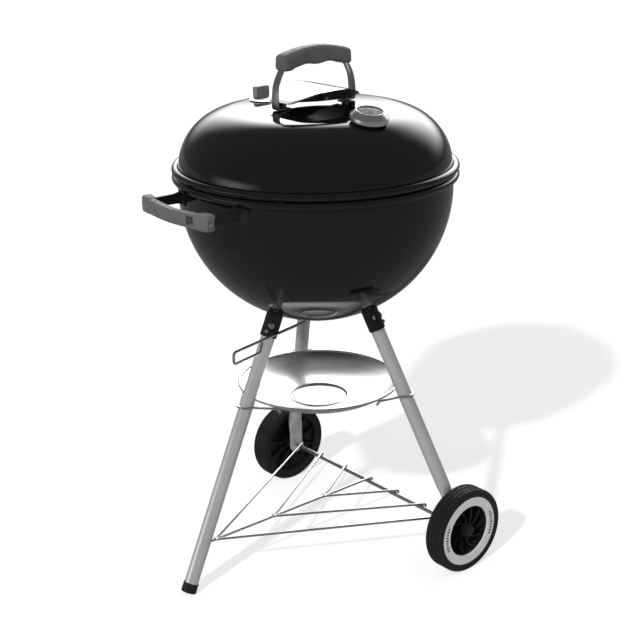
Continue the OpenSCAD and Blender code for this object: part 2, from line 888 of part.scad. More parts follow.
thermo_stem();
thermo_nut();
thermo_needle();
damper_disc();
damper_tab();
damper_rivet();
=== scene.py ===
import json
import math

import bmesh
import bpy
from mathutils import Matrix, Vector


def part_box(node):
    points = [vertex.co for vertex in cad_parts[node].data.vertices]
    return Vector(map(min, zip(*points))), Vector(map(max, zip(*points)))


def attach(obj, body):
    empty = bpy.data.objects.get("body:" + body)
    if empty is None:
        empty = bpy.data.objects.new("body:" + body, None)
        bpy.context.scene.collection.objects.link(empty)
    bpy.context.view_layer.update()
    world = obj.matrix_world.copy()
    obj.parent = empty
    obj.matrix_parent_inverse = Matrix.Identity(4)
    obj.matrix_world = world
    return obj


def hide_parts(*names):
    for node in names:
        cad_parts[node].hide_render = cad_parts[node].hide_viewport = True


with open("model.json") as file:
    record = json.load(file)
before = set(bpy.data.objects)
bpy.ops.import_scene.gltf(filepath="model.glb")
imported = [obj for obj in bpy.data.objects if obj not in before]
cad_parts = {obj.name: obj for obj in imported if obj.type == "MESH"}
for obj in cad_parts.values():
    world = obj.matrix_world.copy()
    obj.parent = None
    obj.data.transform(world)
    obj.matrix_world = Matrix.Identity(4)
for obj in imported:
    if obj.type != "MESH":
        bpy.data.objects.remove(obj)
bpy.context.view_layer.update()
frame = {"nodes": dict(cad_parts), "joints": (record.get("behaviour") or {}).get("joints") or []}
MM = 0.001

# ---------------------------------------------------------------- places, from the frame

JOINTS = {joint["name"]: joint for joint in frame["joints"]}


def middle(node):
    """Middle of a CAD node's box."""
    low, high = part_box(node)
    return (low + high) / 2


def half(node, axis):
    """Half the length of a CAD node's box along an axis."""
    low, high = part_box(node)
    return (high[axis] - low[axis]) / 2


KETTLE = Vector((0, middle("bowl").y, 0))
RIM_R = half("bowl", 0)
BEAD_R = 6.5 * MM
WALL = 1.2 * MM
BOWL_R = RIM_R - 9.5 * MM
BOWL_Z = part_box("bowl")[0].z + BOWL_R
BOWL_BEAD_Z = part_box("bowl")[1].z - BEAD_R
LID_R = RIM_R - 11.2 * MM
SHOULDER_R = 97.5 * MM
CROWN_R = 2.0
LID_BEAD_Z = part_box("lid_shell")[0].z + BEAD_R
LID_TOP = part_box("lid_shell")[1].z
LID_Z = LID_BEAD_Z - 2 * MM
SHOULDER_C = LID_R - SHOULDER_R
CROWN_Z = LID_TOP - CROWN_R
SPLAY = math.radians(24)
LEG_R = 12 * MM
LEG_TURNS = {"front": -90, "right": 28, "left": 152}
SOCKET_R = 110 * MM
SOCKET_Z = 423 * MM
FOOT_Z = LID_TOP + 1 * MM
GRIP_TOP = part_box("lid_grip")[1].z


def leg_distance(z):
    """Distance of a leg's axis from the kettle's axis at height z."""
    return SOCKET_R + (SOCKET_Z - z) * math.tan(SPLAY)


def leg_matrix(side, z):
    """Frame on a leg's axis at height z: Z up the leg, X outwards."""
    turn = Matrix.Rotation(math.radians(LEG_TURNS[side]), 4, "Z")
    place = Matrix.Translation((leg_distance(z), 0, z))
    return Matrix.Translation(KETTLE) @ turn @ place @ Matrix.Rotation(-SPLAY, 4, "Y")


def joint_matrix(name, outwards, flip=False):
    """Frame at a joint: Z along its axis, X as near to outwards as it can be."""
    z = Vector(JOINTS[name]["axis"]).normalized() * (-1 if flip else 1)
    y = z.cross(Vector(outwards)).normalized()
    x = y.cross(z)
    turn = Matrix((x, y, z)).transposed().to_4x4()
    return Matrix.Translation(JOINTS[name]["pos_m"]) @ turn


def wheel_matrix(side):
    """Frame at a wheel's hub on the tyre's inner face: Z outwards along the axle."""
    sign = 1 if side == "right" else -1
    joint = Vector(JOINTS[f"wheel_{side}_spin"]["pos_m"])
    inner = min(abs(corner.x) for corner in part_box(f"tyre_{side}"))
    turn = Matrix.Rotation(sign * math.pi / 2, 4, "Y")
    return Matrix.Translation((sign * inner, joint.y, joint.z)) @ turn


# ---------------------------------------------------------------- mesh building

def arc(cx, cz, r, start, end, count):
    """Points of an arc about (cx, cz), angles in degrees."""
    angles = [math.radians(start + (end - start) * i / count) for i in range(count + 1)]
    return [(cx + r * math.cos(a), cz + r * math.sin(a)) for a in angles]


def finish_mesh(name, mesh, matrix=None, sharp=32):
    """Makes the object, turns its faces outwards and marks its sharp edges."""
    if matrix is not None:
        mesh.transform(matrix)
    bm = bmesh.new()
    bm.from_mesh(mesh)
    bmesh.ops.remove_doubles(bm, verts=bm.verts, dist=1e-6)
    bmesh.ops.recalc_face_normals(bm, faces=bm.faces)
    for face in bm.faces:
        face.smooth = True
    for edge in bm.edges:
        edge.smooth = len(edge.link_faces) == 2 and edge.calc_face_angle(0) < math.radians(sharp)
    bm.to_mesh(mesh)
    bm.free()
    piece = bpy.data.objects.new(name, mesh)
    bpy.context.scene.collection.objects.link(piece)
    return piece


def mesh_of(vertices, faces):
    mesh = bpy.data.meshes.new("piece")
    mesh.from_pydata(vertices, [], faces)
    return mesh


def lathe_mesh(profile, count=128):
    """Solid of revolution of a closed profile of (radius, height) points."""
    vertices, rings, faces = [], [], []
    for r, z in profile:
        if r < 1e-7:
            rings.append([len(vertices)] * count)
            vertices.append((0, 0, z))
        else:
            rings.append(range(len(vertices), len(vertices) + count))
            turns = [2 * math.pi * k / count for k in range(count)]
            vertices += [(r * math.cos(a), r * math.sin(a), z) for a in turns]
    for a, b in zip(rings, rings[1:] + rings[:1]):
        for k in range(count):
            n = (k + 1) % count
            face = list(dict.fromkeys((a[k], a[n], b[n], b[k])))
            if len(face) > 2:
                faces.append(face)
    return mesh_of(vertices, faces)


def loft_mesh(sections, ring=False):
    """Skin over sections of equal point counts, capped unless they close in a ring."""
    size = len(sections[0])
    vertices = [point for section in sections for point in section]
    faces = []
    spans = len(sections) if ring else len(sections) - 1
    for i in range(spans):
        a, b = i * size, (i + 1) % len(sections) * size
        faces += [(a + k, a + (k + 1) % size, b + (k + 1) % size, b + k) for k in range(size)]
    if not ring:
        faces.append(tuple(range(size)))
        faces.append(tuple(range(len(vertices) - size, len(vertices))))
    return mesh_of(vertices, faces)


def rounded_path(points, radius, steps=8, ring=False):
    """The points with each corner turned on an arc of the radius."""
    points = [Vector(p) for p in points]
    count = len(points)
    path = [] if ring else [points[0]]
    for i in range(count) if ring else range(1, count - 1):
        p, before, after = points[i], points[i - 1], points[(i + 1) % count]
        u, v = (before - p), (after - p)
        bend = math.pi - u.angle(v)
        if bend < 0.02:
            path.append(p)
            continue
        cut = min(radius * math.tan(bend / 2), 0.49 * u.length, 0.49 * v.length)
        r = cut / math.tan(bend / 2)
        u.normalize()
        v.normalize()
        centre = p + (u + v).normalized() * math.hypot(r, cut)
        first, last = p + u * cut - centre, p + v * cut - centre
        for k in range(steps + 1):
            t = k / steps
            weight = (math.sin((1 - t) * bend), math.sin(t * bend))
            path.append(centre + (first * weight[0] + last * weight[1]) / math.sin(bend))
    return path if ring else path + [points[-1]]


def smooth_path(points, steps=8, ring=False):
    """Curve through the points."""
    points = [Vector(p) for p in points]
    count = len(points)
    path = []
    for i in range(count if ring else count - 1):
        a, b, c, d = (points[(i + k) % count] if ring else points[min(max(i + k, 0), count - 1)]
                      for k in (-1, 0, 1, 2))
        for k in range(steps):
            t = k / steps
            path.append(0.5 * (2 * b + (c - a) * t + (2 * a - 5 * b + 4 * c - d) * t * t
                               + (3 * b - a - 3 * c + d) * t ** 3))
    return path if ring else path + [points[-1]]


def sections_along(path, outline, up=None, ring=False, scale=None):
    """The outline, of (side, up) points, set across the path at each of its points."""
    path = [Vector(p) for p in path]
    count = len(path)
    sections = []
    normal = None
    for i, p in enumerate(path):
        if ring:
            d = path[(i + 1) % count] - path[i - 1]
        else:
            d = path[min(i + 1, count - 1)] - path[max(i - 1, 0)]
        d.normalize()
        guess = Vector(up) if up is not None else (normal or d.orthogonal())
        normal = (guess - guess.dot(d) * d).normalized()
        side = d.cross(normal)
        s = scale(i / (count - 1)) if scale else (1, 1)
        sections.append([p + side * x * s[0] + normal * y * s[1] for x, y in outline])
    return sections


def circle(r, count=16):
    return [(r * math.cos(2 * math.pi * k / count), r * math.sin(2 * math.pi * k / count))
            for k in range(count)]


def rounded_rectangle(w, h, r, steps=4):
    """Outline of a rectangle w by h with corner radius r."""
    corners = ((1, 1, 0), (-1, 1, 90), (-1, -1, 180), (1, -1, 270))
    return [p for x, y, a in corners
            for p in arc(x * (w / 2 - r), y * (h / 2 - r), r, a, a + 90, steps)]


def wire_mesh(path, r, ring=False, count=16):
    """Round wire along a path, with domed ends."""
    sections = sections_along(path, circle(r, count), ring=ring)
    if not ring:
        for end, inner in ((0, 1), (-1, -2)):
            p, away = Vector(path[end]), (Vector(path[end]) - Vector(path[inner])).normalized()
            domes = []
            for angle in (35, 65, 84):
                a = math.radians(angle)
                domes.append([p + (v - p) * math.cos(a) + away * r * 0.8 * math.sin(a)
                              for v in sections[end]])
            sections = domes[::-1] + sections if end == 0 else sections + domes
    return loft_mesh(sections, ring)


def prism_mesh(outline, low, high, bevel=0.0):
    """Outline of (x, y) points raised from low to high, with bevelled edges."""
    bm = bmesh.new()
    base = [bm.verts.new((x, y, low)) for x, y in outline]
    top = [bm.verts.new((x, y, high)) for x, y in outline]
    count = len(outline)
    bm.faces.new(base[::-1])
    bm.faces.new(top)
    for k in range(count):
        bm.faces.new((base[k], base[(k + 1) % count], top[(k + 1) % count], top[k]))
    if bevel:
        edges = [e for e in bm.edges if e.calc_face_angle(0) > math.radians(30)]
        bmesh.ops.bevel(bm, geom=edges, offset=bevel, segments=3, profile=0.5, affect="EDGES")
    mesh = bpy.data.meshes.new("piece")
    bm.to_mesh(mesh)
    bm.free()
    return mesh


def block_mesh(size, centre, bevel):
    """Box with rounded edges."""
    x, y, z = (s / 2 for s in size)
    mesh = prism_mesh([(-x, -y), (x, -y), (x, y), (-x, y)], -z, z, bevel)
    mesh.transform(Matrix.Translation(centre))
    return mesh


def hex_nut_mesh(across, low, high, bore=0.0):
    """Hexagonal nut with chamfered corners."""
    r = across / math.sqrt(3)
    chamfer = 0.12 * r
    rounds = []
    for z, reach in ((low, r - chamfer), (low + chamfer * 0.6, r), (high - chamfer * 0.6, r),
                     (high, r - chamfer)):
        ring = []
        for k in range(48):
            a = 2 * math.pi * k / 48
            flat = across / 2 / math.cos((a + math.pi / 6) % (math.pi / 3) - math.pi / 6)
            ring.append((min(flat, reach) * math.cos(a), min(flat, reach) * math.sin(a), z))
        rounds.append(ring)
    if bore:
        for z in (high, low):
            rounds.append([(bore * math.cos(2 * math.pi * k / 48),
                            bore * math.sin(2 * math.pi * k / 48), z) for k in range(48)])
    return loft_mesh(rounds, ring=bool(bore))


def joined(meshes):
    """One mesh holding all of the meshes."""
    bm = bmesh.new()
    for mesh in meshes:
        bm.from_mesh(mesh)
    whole = bpy.data.meshes.new("piece")
    bm.to_mesh(whole)
    bm.free()
    return whole


def placed(mesh, matrix):
    mesh.transform(matrix)
    return mesh


def cut(mesh, cutters):
    """The mesh with the cutters' space taken away."""
    body = bpy.data.objects.new("body", mesh)
    tool = bpy.data.objects.new("tool", joined(cutters))
    for item in (body, tool):
        bpy.context.scene.collection.objects.link(item)
    for item in (body, tool):
        bm = bmesh.new()
        bm.from_mesh(item.data)
        bmesh.ops.remove_doubles(bm, verts=bm.verts, dist=1e-6)
        bmesh.ops.recalc_face_normals(bm, faces=bm.faces)
        bm.to_mesh(item.data)
        bm.free()
    modifier = body.modifiers.new("cut", "BOOLEAN")
    modifier.operation = "DIFFERENCE"
    modifier.solver = "EXACT"
    modifier.object = tool
    graph = bpy.context.evaluated_depsgraph_get()
    result = bpy.data.meshes.new_from_object(body.evaluated_get(graph))
    bpy.data.objects.remove(body)
    bpy.data.objects.remove(tool)
    return result


def add(name, mesh, body, slot, material, *nodes, matrix=None, sharp=32):
    """Puts a finished piece on its body, in place of the CAD nodes named."""
    piece = finish_mesh(name, mesh, matrix, sharp)
    piece.data.materials.clear()
    piece.data.materials.append(material)
    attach(piece, body)
    if nodes:
        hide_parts(*nodes)
    return piece


# ---------------------------------------------------------------- materials

class Look:
    """A procedural material under construction. Uniform values go straight on the shader."""

    def __init__(self, name, colour, roughness, metallic=0.0, **sockets):
        self.material = bpy.data.materials.new(name)
        self.material.use_nodes = True
        self.nodes = self.material.node_tree.nodes
        self.links = self.material.node_tree.links
        self.shader = self.nodes["Principled BSDF"]
        self.shader.inputs["Metallic"].default_value = metallic
        self.shader.inputs["Roughness"].default_value = roughness
        self.shader.inputs["Base Color"].default_value = (*colour, 1)
        for label, value in sockets.items():
            self.shader.inputs[label.replace("_", " ").title().replace("Ior", "IOR")].default_value = value
        self.place = self.nodes.new("ShaderNodeTexCoord").outputs["Object"]
        self.bumps = None

    def node(self, kind, inputs=(), **settings):
        made = self.nodes.new(kind)
        for label, value in settings.items():
            setattr(made, label, value)
        for key, value in dict(inputs).items():
            if isinstance(value, bpy.types.NodeSocket):
                self.links.new(value, made.inputs[key])
            else:
                made.inputs[key].default_value = value
        return made

    def lie_along(self, matrix, stretch=(1, 1, 1)):
        """Coordinates in the matrix's frame, made long along the axes with a small stretch."""
        scale = [1 / s for s in stretch]
        mapping = self.node("ShaderNodeMapping", {"Vector": self.place, "Location": matrix.to_translation(),
                                                  "Rotation": matrix.to_euler(), "Scale": scale},
                            vector_type="TEXTURE")
        return mapping.outputs[0]

    def around(self, matrix, frequency):
        """A coordinate that grows with the distance from the matrix's Z axis."""
        local = self.lie_along(matrix)
        flat = self.node("ShaderNodeVectorMath", {0: local, 1: (1, 1, 0)}, operation="MULTIPLY")
        reach = self.node("ShaderNodeVectorMath", {0: flat.outputs[0]}, operation="LENGTH")
        scaled = self.node("ShaderNodeMath", {0: reach.outputs["Value"], 1: frequency}, operation="MULTIPLY")
        return self.node("ShaderNodeCombineXYZ", {0: scaled.outputs[0]}).outputs[0]

    def noise(self, scale, detail=3.0, vector=None, rough=0.55):
        made = self.node("ShaderNodeTexNoise", {"Vector": vector or self.place, "Scale": scale,
                                                "Detail": detail, "Roughness": rough})
        return made.outputs[0]

    def spread(self, value, low, high, start=0.3, end=0.7):
        """The value from start to end taken to low to high."""
        made = self.node("ShaderNodeMapRange", {0: value, 1: start, 2: end, 3: low, 4: high})
        return made.outputs[0]

    def colour(self, value, low, high, start=0.3, end=0.7):
        made = self.node("ShaderNodeValToRGB", {0: value})
        made.color_ramp.elements[0].position = start
        made.color_ramp.elements[1].position = end
        made.color_ramp.elements[0].color = (*low, 1)
        made.color_ramp.elements[1].color = (*high, 1)
        self.links.new(made.outputs[0], self.shader.inputs["Base Color"])
        return made.outputs[0]

    def roughness(self, value):
        self.links.new(value, self.shader.inputs["Roughness"])

    def bump(self, height, distance, strength=1.0):
        made = self.node("ShaderNodeBump", {"Height": height, "Distance": distance, "Strength": strength})
        if self.bumps:
            self.links.new(self.bumps, made.inputs["Normal"])
        self.bumps = made.outputs[0]
        self.links.new(self.bumps, self.shader.inputs["Normal"])


def grey(value):
    return (value, value, value * 1.02)


def enamel():
    look = Look("enamel", grey(0.006), 0.05, ior=1.52)
    look.colour(look.noise(900, 4), grey(0.0045), grey(0.0085))
    look.roughness(look.spread(look.noise(14), 0.035, 0.075))
    look.bump(look.noise(130, 2), 0.000012)
    return look.material


def black_paint():
    look = Look("black_paint", grey(0.012), 0.36)
    look.colour(look.noise(500), grey(0.008), grey(0.016))
    look.roughness(look.spread(look.noise(60), 0.28, 0.44))
    look.bump(look.noise(1400, 4), 0.00006)
    return look.material


def drawn_tube(side):
    """Satin aluminium with fine lines along a leg."""
    look = Look(f"leg_{side}_aluminium", grey(0.8), 0.26, metallic=0.6)
    lines = look.noise(1, 4, look.lie_along(leg_matrix(side, SOCKET_Z), (900, 900, 5)), 0.6)
    cloud = look.noise(9, 3)
    look.colour(cloud, grey(0.84), grey(0.94))
    look.roughness(look.spread(lines, 0.2, 0.36))
    look.bump(lines, 0.00002)
    return look.material


def spun_sheet(name, matrix, low=0.74, high=0.88, rough=(0.24, 0.34)):
    """Sheet aluminium with the fine rings left by the spinning tool."""
    look = Look(name, grey(high), rough[0], metallic=1.0)
    rings = look.noise(1, 5, look.around(matrix, 1500), 0.7)
    broad = look.noise(1, 2, look.around(matrix, 90))
    look.colour(broad, grey(low), grey(high))
    look.roughness(look.spread(rings, *rough))
    look.bump(rings, 0.00002)
    return look.material


def polished_sheet_with_painted_shade():
    """Bright above and dark below: the near-black colour on faces that turn down is painted shade, standing
    in for the shadow and reflection of the black lid.
    """
    look = Look("polished_sheet_with_painted_shade", grey(0.9), 0.08, metallic=1.0)
    geometry = look.nodes.new("ShaderNodeNewGeometry")
    normal = look.node("ShaderNodeSeparateXYZ", {0: geometry.outputs["True Normal"]})
    # painted shade: faces that turn down get a near-black colour, while faces that turn up keep the bright
    # metal with a random cloud
    facing_for_painted_shade = look.node("ShaderNodeMapRange",
                         {"Value": normal.outputs["Z"], "From Min": 0.1, "From Max": 0.3})
    cloud = look.node("ShaderNodeMath", {0: look.noise(12), 1: facing_for_painted_shade.outputs[0]}, operation="MULTIPLY")
    look.colour(cloud.outputs[0], grey(0.03), grey(0.74), 0.0, 0.35)
    lines = look.noise(1, 4, look.lie_along(Matrix.Identity(4), (700, 8, 700)))
    look.roughness(look.spread(lines, 0.06, 0.13))
    look.bump(look.noise(14, 1), 0.0001)
    return look.material


def plated_wire():
    look = Look("plated_wire", grey(0.75), 0.2, metallic=1.0)
    look.colour(look.noise(70), grey(0.66), grey(0.82))
    look.roughness(look.spread(look.noise(240), 0.14, 0.28))
    look.bump(look.noise(500, 2), 0.00003)
    return look.material


def plain_steel(name, low, high, rough=(0.3, 0.5), scale=40):
    look = Look(name, grey(high), rough[0], metallic=1.0)
    look.colour(look.noise(scale, 5), grey(low), grey(high))
    look.roughness(look.spread(look.noise(scale * 4), *rough))
    look.bump(look.noise(scale * 25, 3), 0.00004)
    return look.material


def brushed(name, stretch, low=0.6, high=0.72, rough=(0.22, 0.38)):
    """Metal with fine lines along the axis of smallest stretch."""
    look = Look(name, grey(high), rough[0], metallic=1.0)
    lines = look.noise(1, 4, look.lie_along(Matrix.Identity(4), stretch), 0.65)
    look.colour(look.noise(30), grey(low), grey(high))
    look.roughness(look.spread(lines, *rough))
    look.bump(lines, 0.00003)
    return look.material


def moulded(name, low, high, rough=(0.42, 0.56), grain=1100, depth=0.00008):
    """Moulded plastic with a fine grain."""
    look = Look(name, grey(high), rough[0])
    look.colour(look.noise(25, 4), grey(low), grey(high))
    look.roughness(look.spread(look.noise(120), *rough))
    look.bump(look.noise(grain, 4), depth)
    return look.material


def lens_glass():
    look = Look("lens_glass", (1, 1, 1), 0.03, ior=1.08, transmission_weight=1.0)
    look.roughness(look.spread(look.noise(30), 0.01, 0.04))
    return look.material


# ---------------------------------------------------------------- kettle

TO_KETTLE = Matrix.Translation(KETTLE)


def bead(z, start, end):
    """Rolled edge about the bead's centre at height z."""
    return arc(RIM_R - BEAD_R, z, BEAD_R, start, end, 28)


def stadium(length, width, steps=16):
    reach = (length - width) / 2
    return arc(reach, 0, width / 2, -90, 90, steps) + arc(-reach, 0, width / 2, 90, 270, steps)


SWEEP_TURN = math.atan2(middle("sweep_lever").y - KETTLE.y, middle("sweep_lever").x)
VENT_IN = 36 * MM
VENT_OUT = 78 * MM
VENT_W = 24 * MM
SHAFT_R = half("sweep_shaft", 0)


def build_bowl(material):
    inner = BOWL_R - WALL
    profile = arc(0, BOWL_Z, BOWL_R, -90, 0, 56)
    profile += [(BOWL_R, BOWL_BEAD_Z - 6 * MM)]
    profile += bead(BOWL_BEAD_Z, -112, 150)
    profile += [(inner, BOWL_BEAD_Z - 1 * MM)] + arc(0, BOWL_Z, inner, 0, -90, 56)
    shell = placed(lathe_mesh(profile, 192), TO_KETTLE)
    cutters = [prism_mesh(circle(SHAFT_R * 1.05, 32), -0.02, 0.03)]
    for k in range(3):
        turn = Matrix.Rotation(SWEEP_TURN + math.radians(60 + 120 * k), 4, "Z")
        slot = prism_mesh(stadium(VENT_OUT - VENT_IN, VENT_W), -0.02, 0.03)
        cutters.append(placed(slot, turn @ Matrix.Translation(((VENT_IN + VENT_OUT) / 2, 0, 0))))
    floor = TO_KETTLE @ Matrix.Translation((0, 0, BOWL_Z - BOWL_R))
    shell = cut(shell, [placed(c, floor) for c in cutters])
    add("bowl_shell", shell, "stand", "enamel", material, "bowl")


DAMPER_HOLES = 4
DAMPER_HOLE_R = 10 * MM
DAMPER_HOLE_OUT = 27 * MM
DAMPER = joint_matrix("damper_turn", Vector(JOINTS["damper_turn"]["pos_m"]) - KETTLE, flip=False)
THERMO = joint_matrix("needle_turn", Vector(JOINTS["needle_turn"]["pos_m"]) - KETTLE, flip=True)


def damper_hole_cutters():
    cutters = []
    for k in range(DAMPER_HOLES):
        turn = Matrix.Rotation(math.radians(45 + 360 / DAMPER_HOLES * k), 4, "Z")
        hole = prism_mesh(circle(DAMPER_HOLE_R, 32), -0.02, 0.02)
        cutters.append(placed(hole, DAMPER @ turn @ Matrix.Translation((DAMPER_HOLE_OUT, 0, 0))))
    return cutters


def lid_half_outline(inset):
    """Crown and shoulder of the lid from the top down, moved inwards."""
    join = math.degrees(math.acos(SHOULDER_C / (CROWN_R - SHOULDER_R)))
    crown = arc(0, CROWN_Z, CROWN_R - inset, 90, join, 26)
    shoulder = arc(SHOULDER_C, LID_Z, SHOULDER_R - inset, join, 0, 52)
    return crown[:-1] + shoulder


def build_lid(material):
    profile = lid_half_outline(0) + bead(LID_BEAD_Z, 128, -150)
    profile += [(LID_R - WALL, LID_BEAD_Z + 1 * MM)] + lid_half_outline(WALL)[::-1]
    shell = placed(lathe_mesh(profile, 192), TO_KETTLE)
    add("lid_dome", cut(shell, damper_hole_cutters()), "lid", "enamel", material, "lid_shell")


# ---------------------------------------------------------------- lid handle and shield

STRAP_T = 3 * MM
GRIP_HALF = half("lid_grip", 1)


def build_strap(material):
    side = [(0, 75), (40, 74.5), (54, 72.6), (64, 64.6), (72, 54), (78, 41), (81, 27), (82, 13)]
    run = [Vector((0, y * MM, FOOT_Z + z * MM)) for y, z in side]
    foot = [Vector((0, y * MM, FOOT_Z)) for y in (81.5, 57)]
    halfway = smooth_path(run, 6) + rounded_path([run[-1], *foot], 4 * MM, 6)[1:]
    path = [Vector((0, -p.y, p.z)) for p in halfway[::-1]] + halfway[1:]

    def width(t):
        from_middle = abs(2 * t - 1)
        return (0.84 + 0.32 * min(1, from_middle ** 2), 1)

    outline = rounded_rectangle(16 * MM, STRAP_T, 1.1 * MM, 3)
    sections = sections_along(path, [(y, x) for x, y in outline], up=(1, 0, 0),
                              scale=lambda t: width(t)[::-1])
    add("handle_strap", placed(loft_mesh(sections), TO_KETTLE), "lid", "strap_metal", material, "lid_strap")


def grip_station(t):
    """Top, underside and half width of the grip at t from -1 to 1 along it."""
    rise = 11 * MM
    back = (GRIP_HALF ** 2 + rise ** 2) / (2 * rise)
    y = t * GRIP_HALF
    top = GRIP_TOP - back + math.sqrt(back ** 2 - y ** 2)
    knuckle = 1 / (1 + math.exp(-(abs(y) / MM - 51) / 2.2))
    waves = 2.6 * MM * math.cos(math.pi * min(abs(y) / MM, 46) / 23 + math.pi)
    under = GRIP_TOP - 29.5 * MM + waves * 0.55 - 4.2 * MM * knuckle + 1.0 * MM * (1 - abs(t))
    width = 14.6 * MM - 1.6 * MM * (1 - abs(t)) + 0.4 * MM * knuckle
    return top, under, width


def build_grip(material):
    sections = []
    stations = [math.sin(math.pi / 2 * (2 * i / 72 - 1)) for i in range(73)]
    for t in stations:
        top, under, width = grip_station(t)
        close = max(0.0, (abs(t) * GRIP_HALF - GRIP_HALF + 5 * MM) / (5 * MM))
        shrink = 1 - 0.28 * (1 - math.sqrt(max(0, 1 - close ** 2)))
        centre = (top + under) / 2
        tall = (top - under) * shrink
        outline = rounded_rectangle(2 * width * shrink, tall, 5.5 * MM * shrink, 6)
        ring = []
        for x, z in outline:
            crowned = z + (0.06 * tall * (1 - (x / width) ** 2) - 0.03 * tall if z > 0 else 0)
            ring.append((x * (1 - 0.1 * z / tall), t * GRIP_HALF, centre + crowned))
        sections.append(ring)
    add("lid_grip_moulding", placed(loft_mesh(sections), TO_KETTLE), "lid", "grip_plastic", material,
        "lid_grip", sharp=50)


SHIELD_END = 75 * MM
SHIELD_RISE = 19 * MM
SHIELD_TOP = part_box("heat_shield")[1].z
SHIELD_HALF_W = half("heat_shield", 0)
SHIELD_TAPER = 32 * MM


def build_shield(material):
    arch = (SHIELD_END ** 2 + SHIELD_RISE ** 2) / (2 * SHIELD_RISE)
    leaf = (SHIELD_END ** 2 + SHIELD_TAPER ** 2) / (2 * SHIELD_TAPER)
    thick = 1.1 * MM
    sections = []
    for i in range(61):
        angle = math.asin(SHIELD_END / arch) * (i / 30 - 1)
        y = arch * math.sin(angle)
        wide = SHIELD_HALF_W - leaf + math.sqrt(leaf ** 2 - y ** 2)
        ring = []
        for r, side in ((arch, 1), (arch - thick, -1)):
            for k in range(25):
                x = side * wide * (1 - k / 12)
                lip = 0.5 * MM * (abs(x) / wide) ** 10
                ring.append((x, (r - lip) * math.sin(angle), SHIELD_TOP - arch + (r - lip) * math.cos(angle)))
        sections.append(ring)
    legs = [shield_skirt(side, arch, leaf, thick) for side in (-1, 1)]
    low = FOOT_Z + STRAP_T / 2
    high = SHIELD_TOP - SHIELD_RISE - 0.3 * MM
    for side in (-1, 1):
        legs.append(block_mesh((14 * MM, 1.2 * MM, high - low),
                               (0, side * (SHIELD_END + 0.1 * MM), (low + high) / 2), 0.4 * MM))
    mesh = placed(joined([loft_mesh(sections), *legs]), TO_KETTLE)
    add("heat_shield_sheet", mesh, "lid", "bright_sheet", material, "heat_shield", sharp=40)


def shield_skirt(side, arch, leaf, thick):
    """Side wall from the shield's arched edge down to a straight edge."""
    sections = []
    for i in range(1, 60):
        angle = math.asin(SHIELD_END / arch) * (i / 30 - 1)
        y = arch * math.sin(angle)
        wide = SHIELD_HALF_W - leaf + math.sqrt(leaf ** 2 - y ** 2)
        top = SHIELD_TOP - arch + (arch - thick) * math.cos(angle)
        low = min(top - 0.5 * MM, SHIELD_TOP - SHIELD_RISE + 3.5 * MM)
        sections.append([(side * wide, y, top), (side * (wide - thick), y, top),
                         (side * (wide - thick), y, low), (side * wide, y, low)])
    return loft_mesh(sections)


def build_lid_nuts(material):
    parts = []
    for side in (-1, 1):
        foot = Matrix.Translation((0, side * 66 * MM, 0))
        base = FOOT_Z + STRAP_T / 2
        nut = hex_nut_mesh(10.5 * MM, base + 0.8 * MM, base + 5 * MM)
        washer = lathe_mesh([(0, base + 0.1 * MM), (6.3 * MM, base + 0.1 * MM), (6.6 * MM, base + 0.4 * MM),
                             (6.3 * MM, base + 0.8 * MM), (0, base + 0.8 * MM)], 48)
        dome = lathe_mesh([(0, base + 4.6 * MM)] + arc(0, base + 4.6 * MM, 3.4 * MM, 0, 90, 8), 32)
        head = lathe_mesh([(0, LID_TOP - 2.4 * MM), (3 * MM, LID_TOP - 2.4 * MM),
                           (6 * MM, LID_TOP - 3.8 * MM), (6 * MM, LID_TOP - 5 * MM),
                           (4.6 * MM, LID_TOP - 6 * MM), (0, LID_TOP - 6.3 * MM)], 32)
        parts += [placed(m, foot) for m in (nut, washer, dome, head)]
    add("handle_nuts", placed(joined(parts), TO_KETTLE), "lid", "fastener_steel", material, "lid_nuts")


# ---------------------------------------------------------------- thermometer

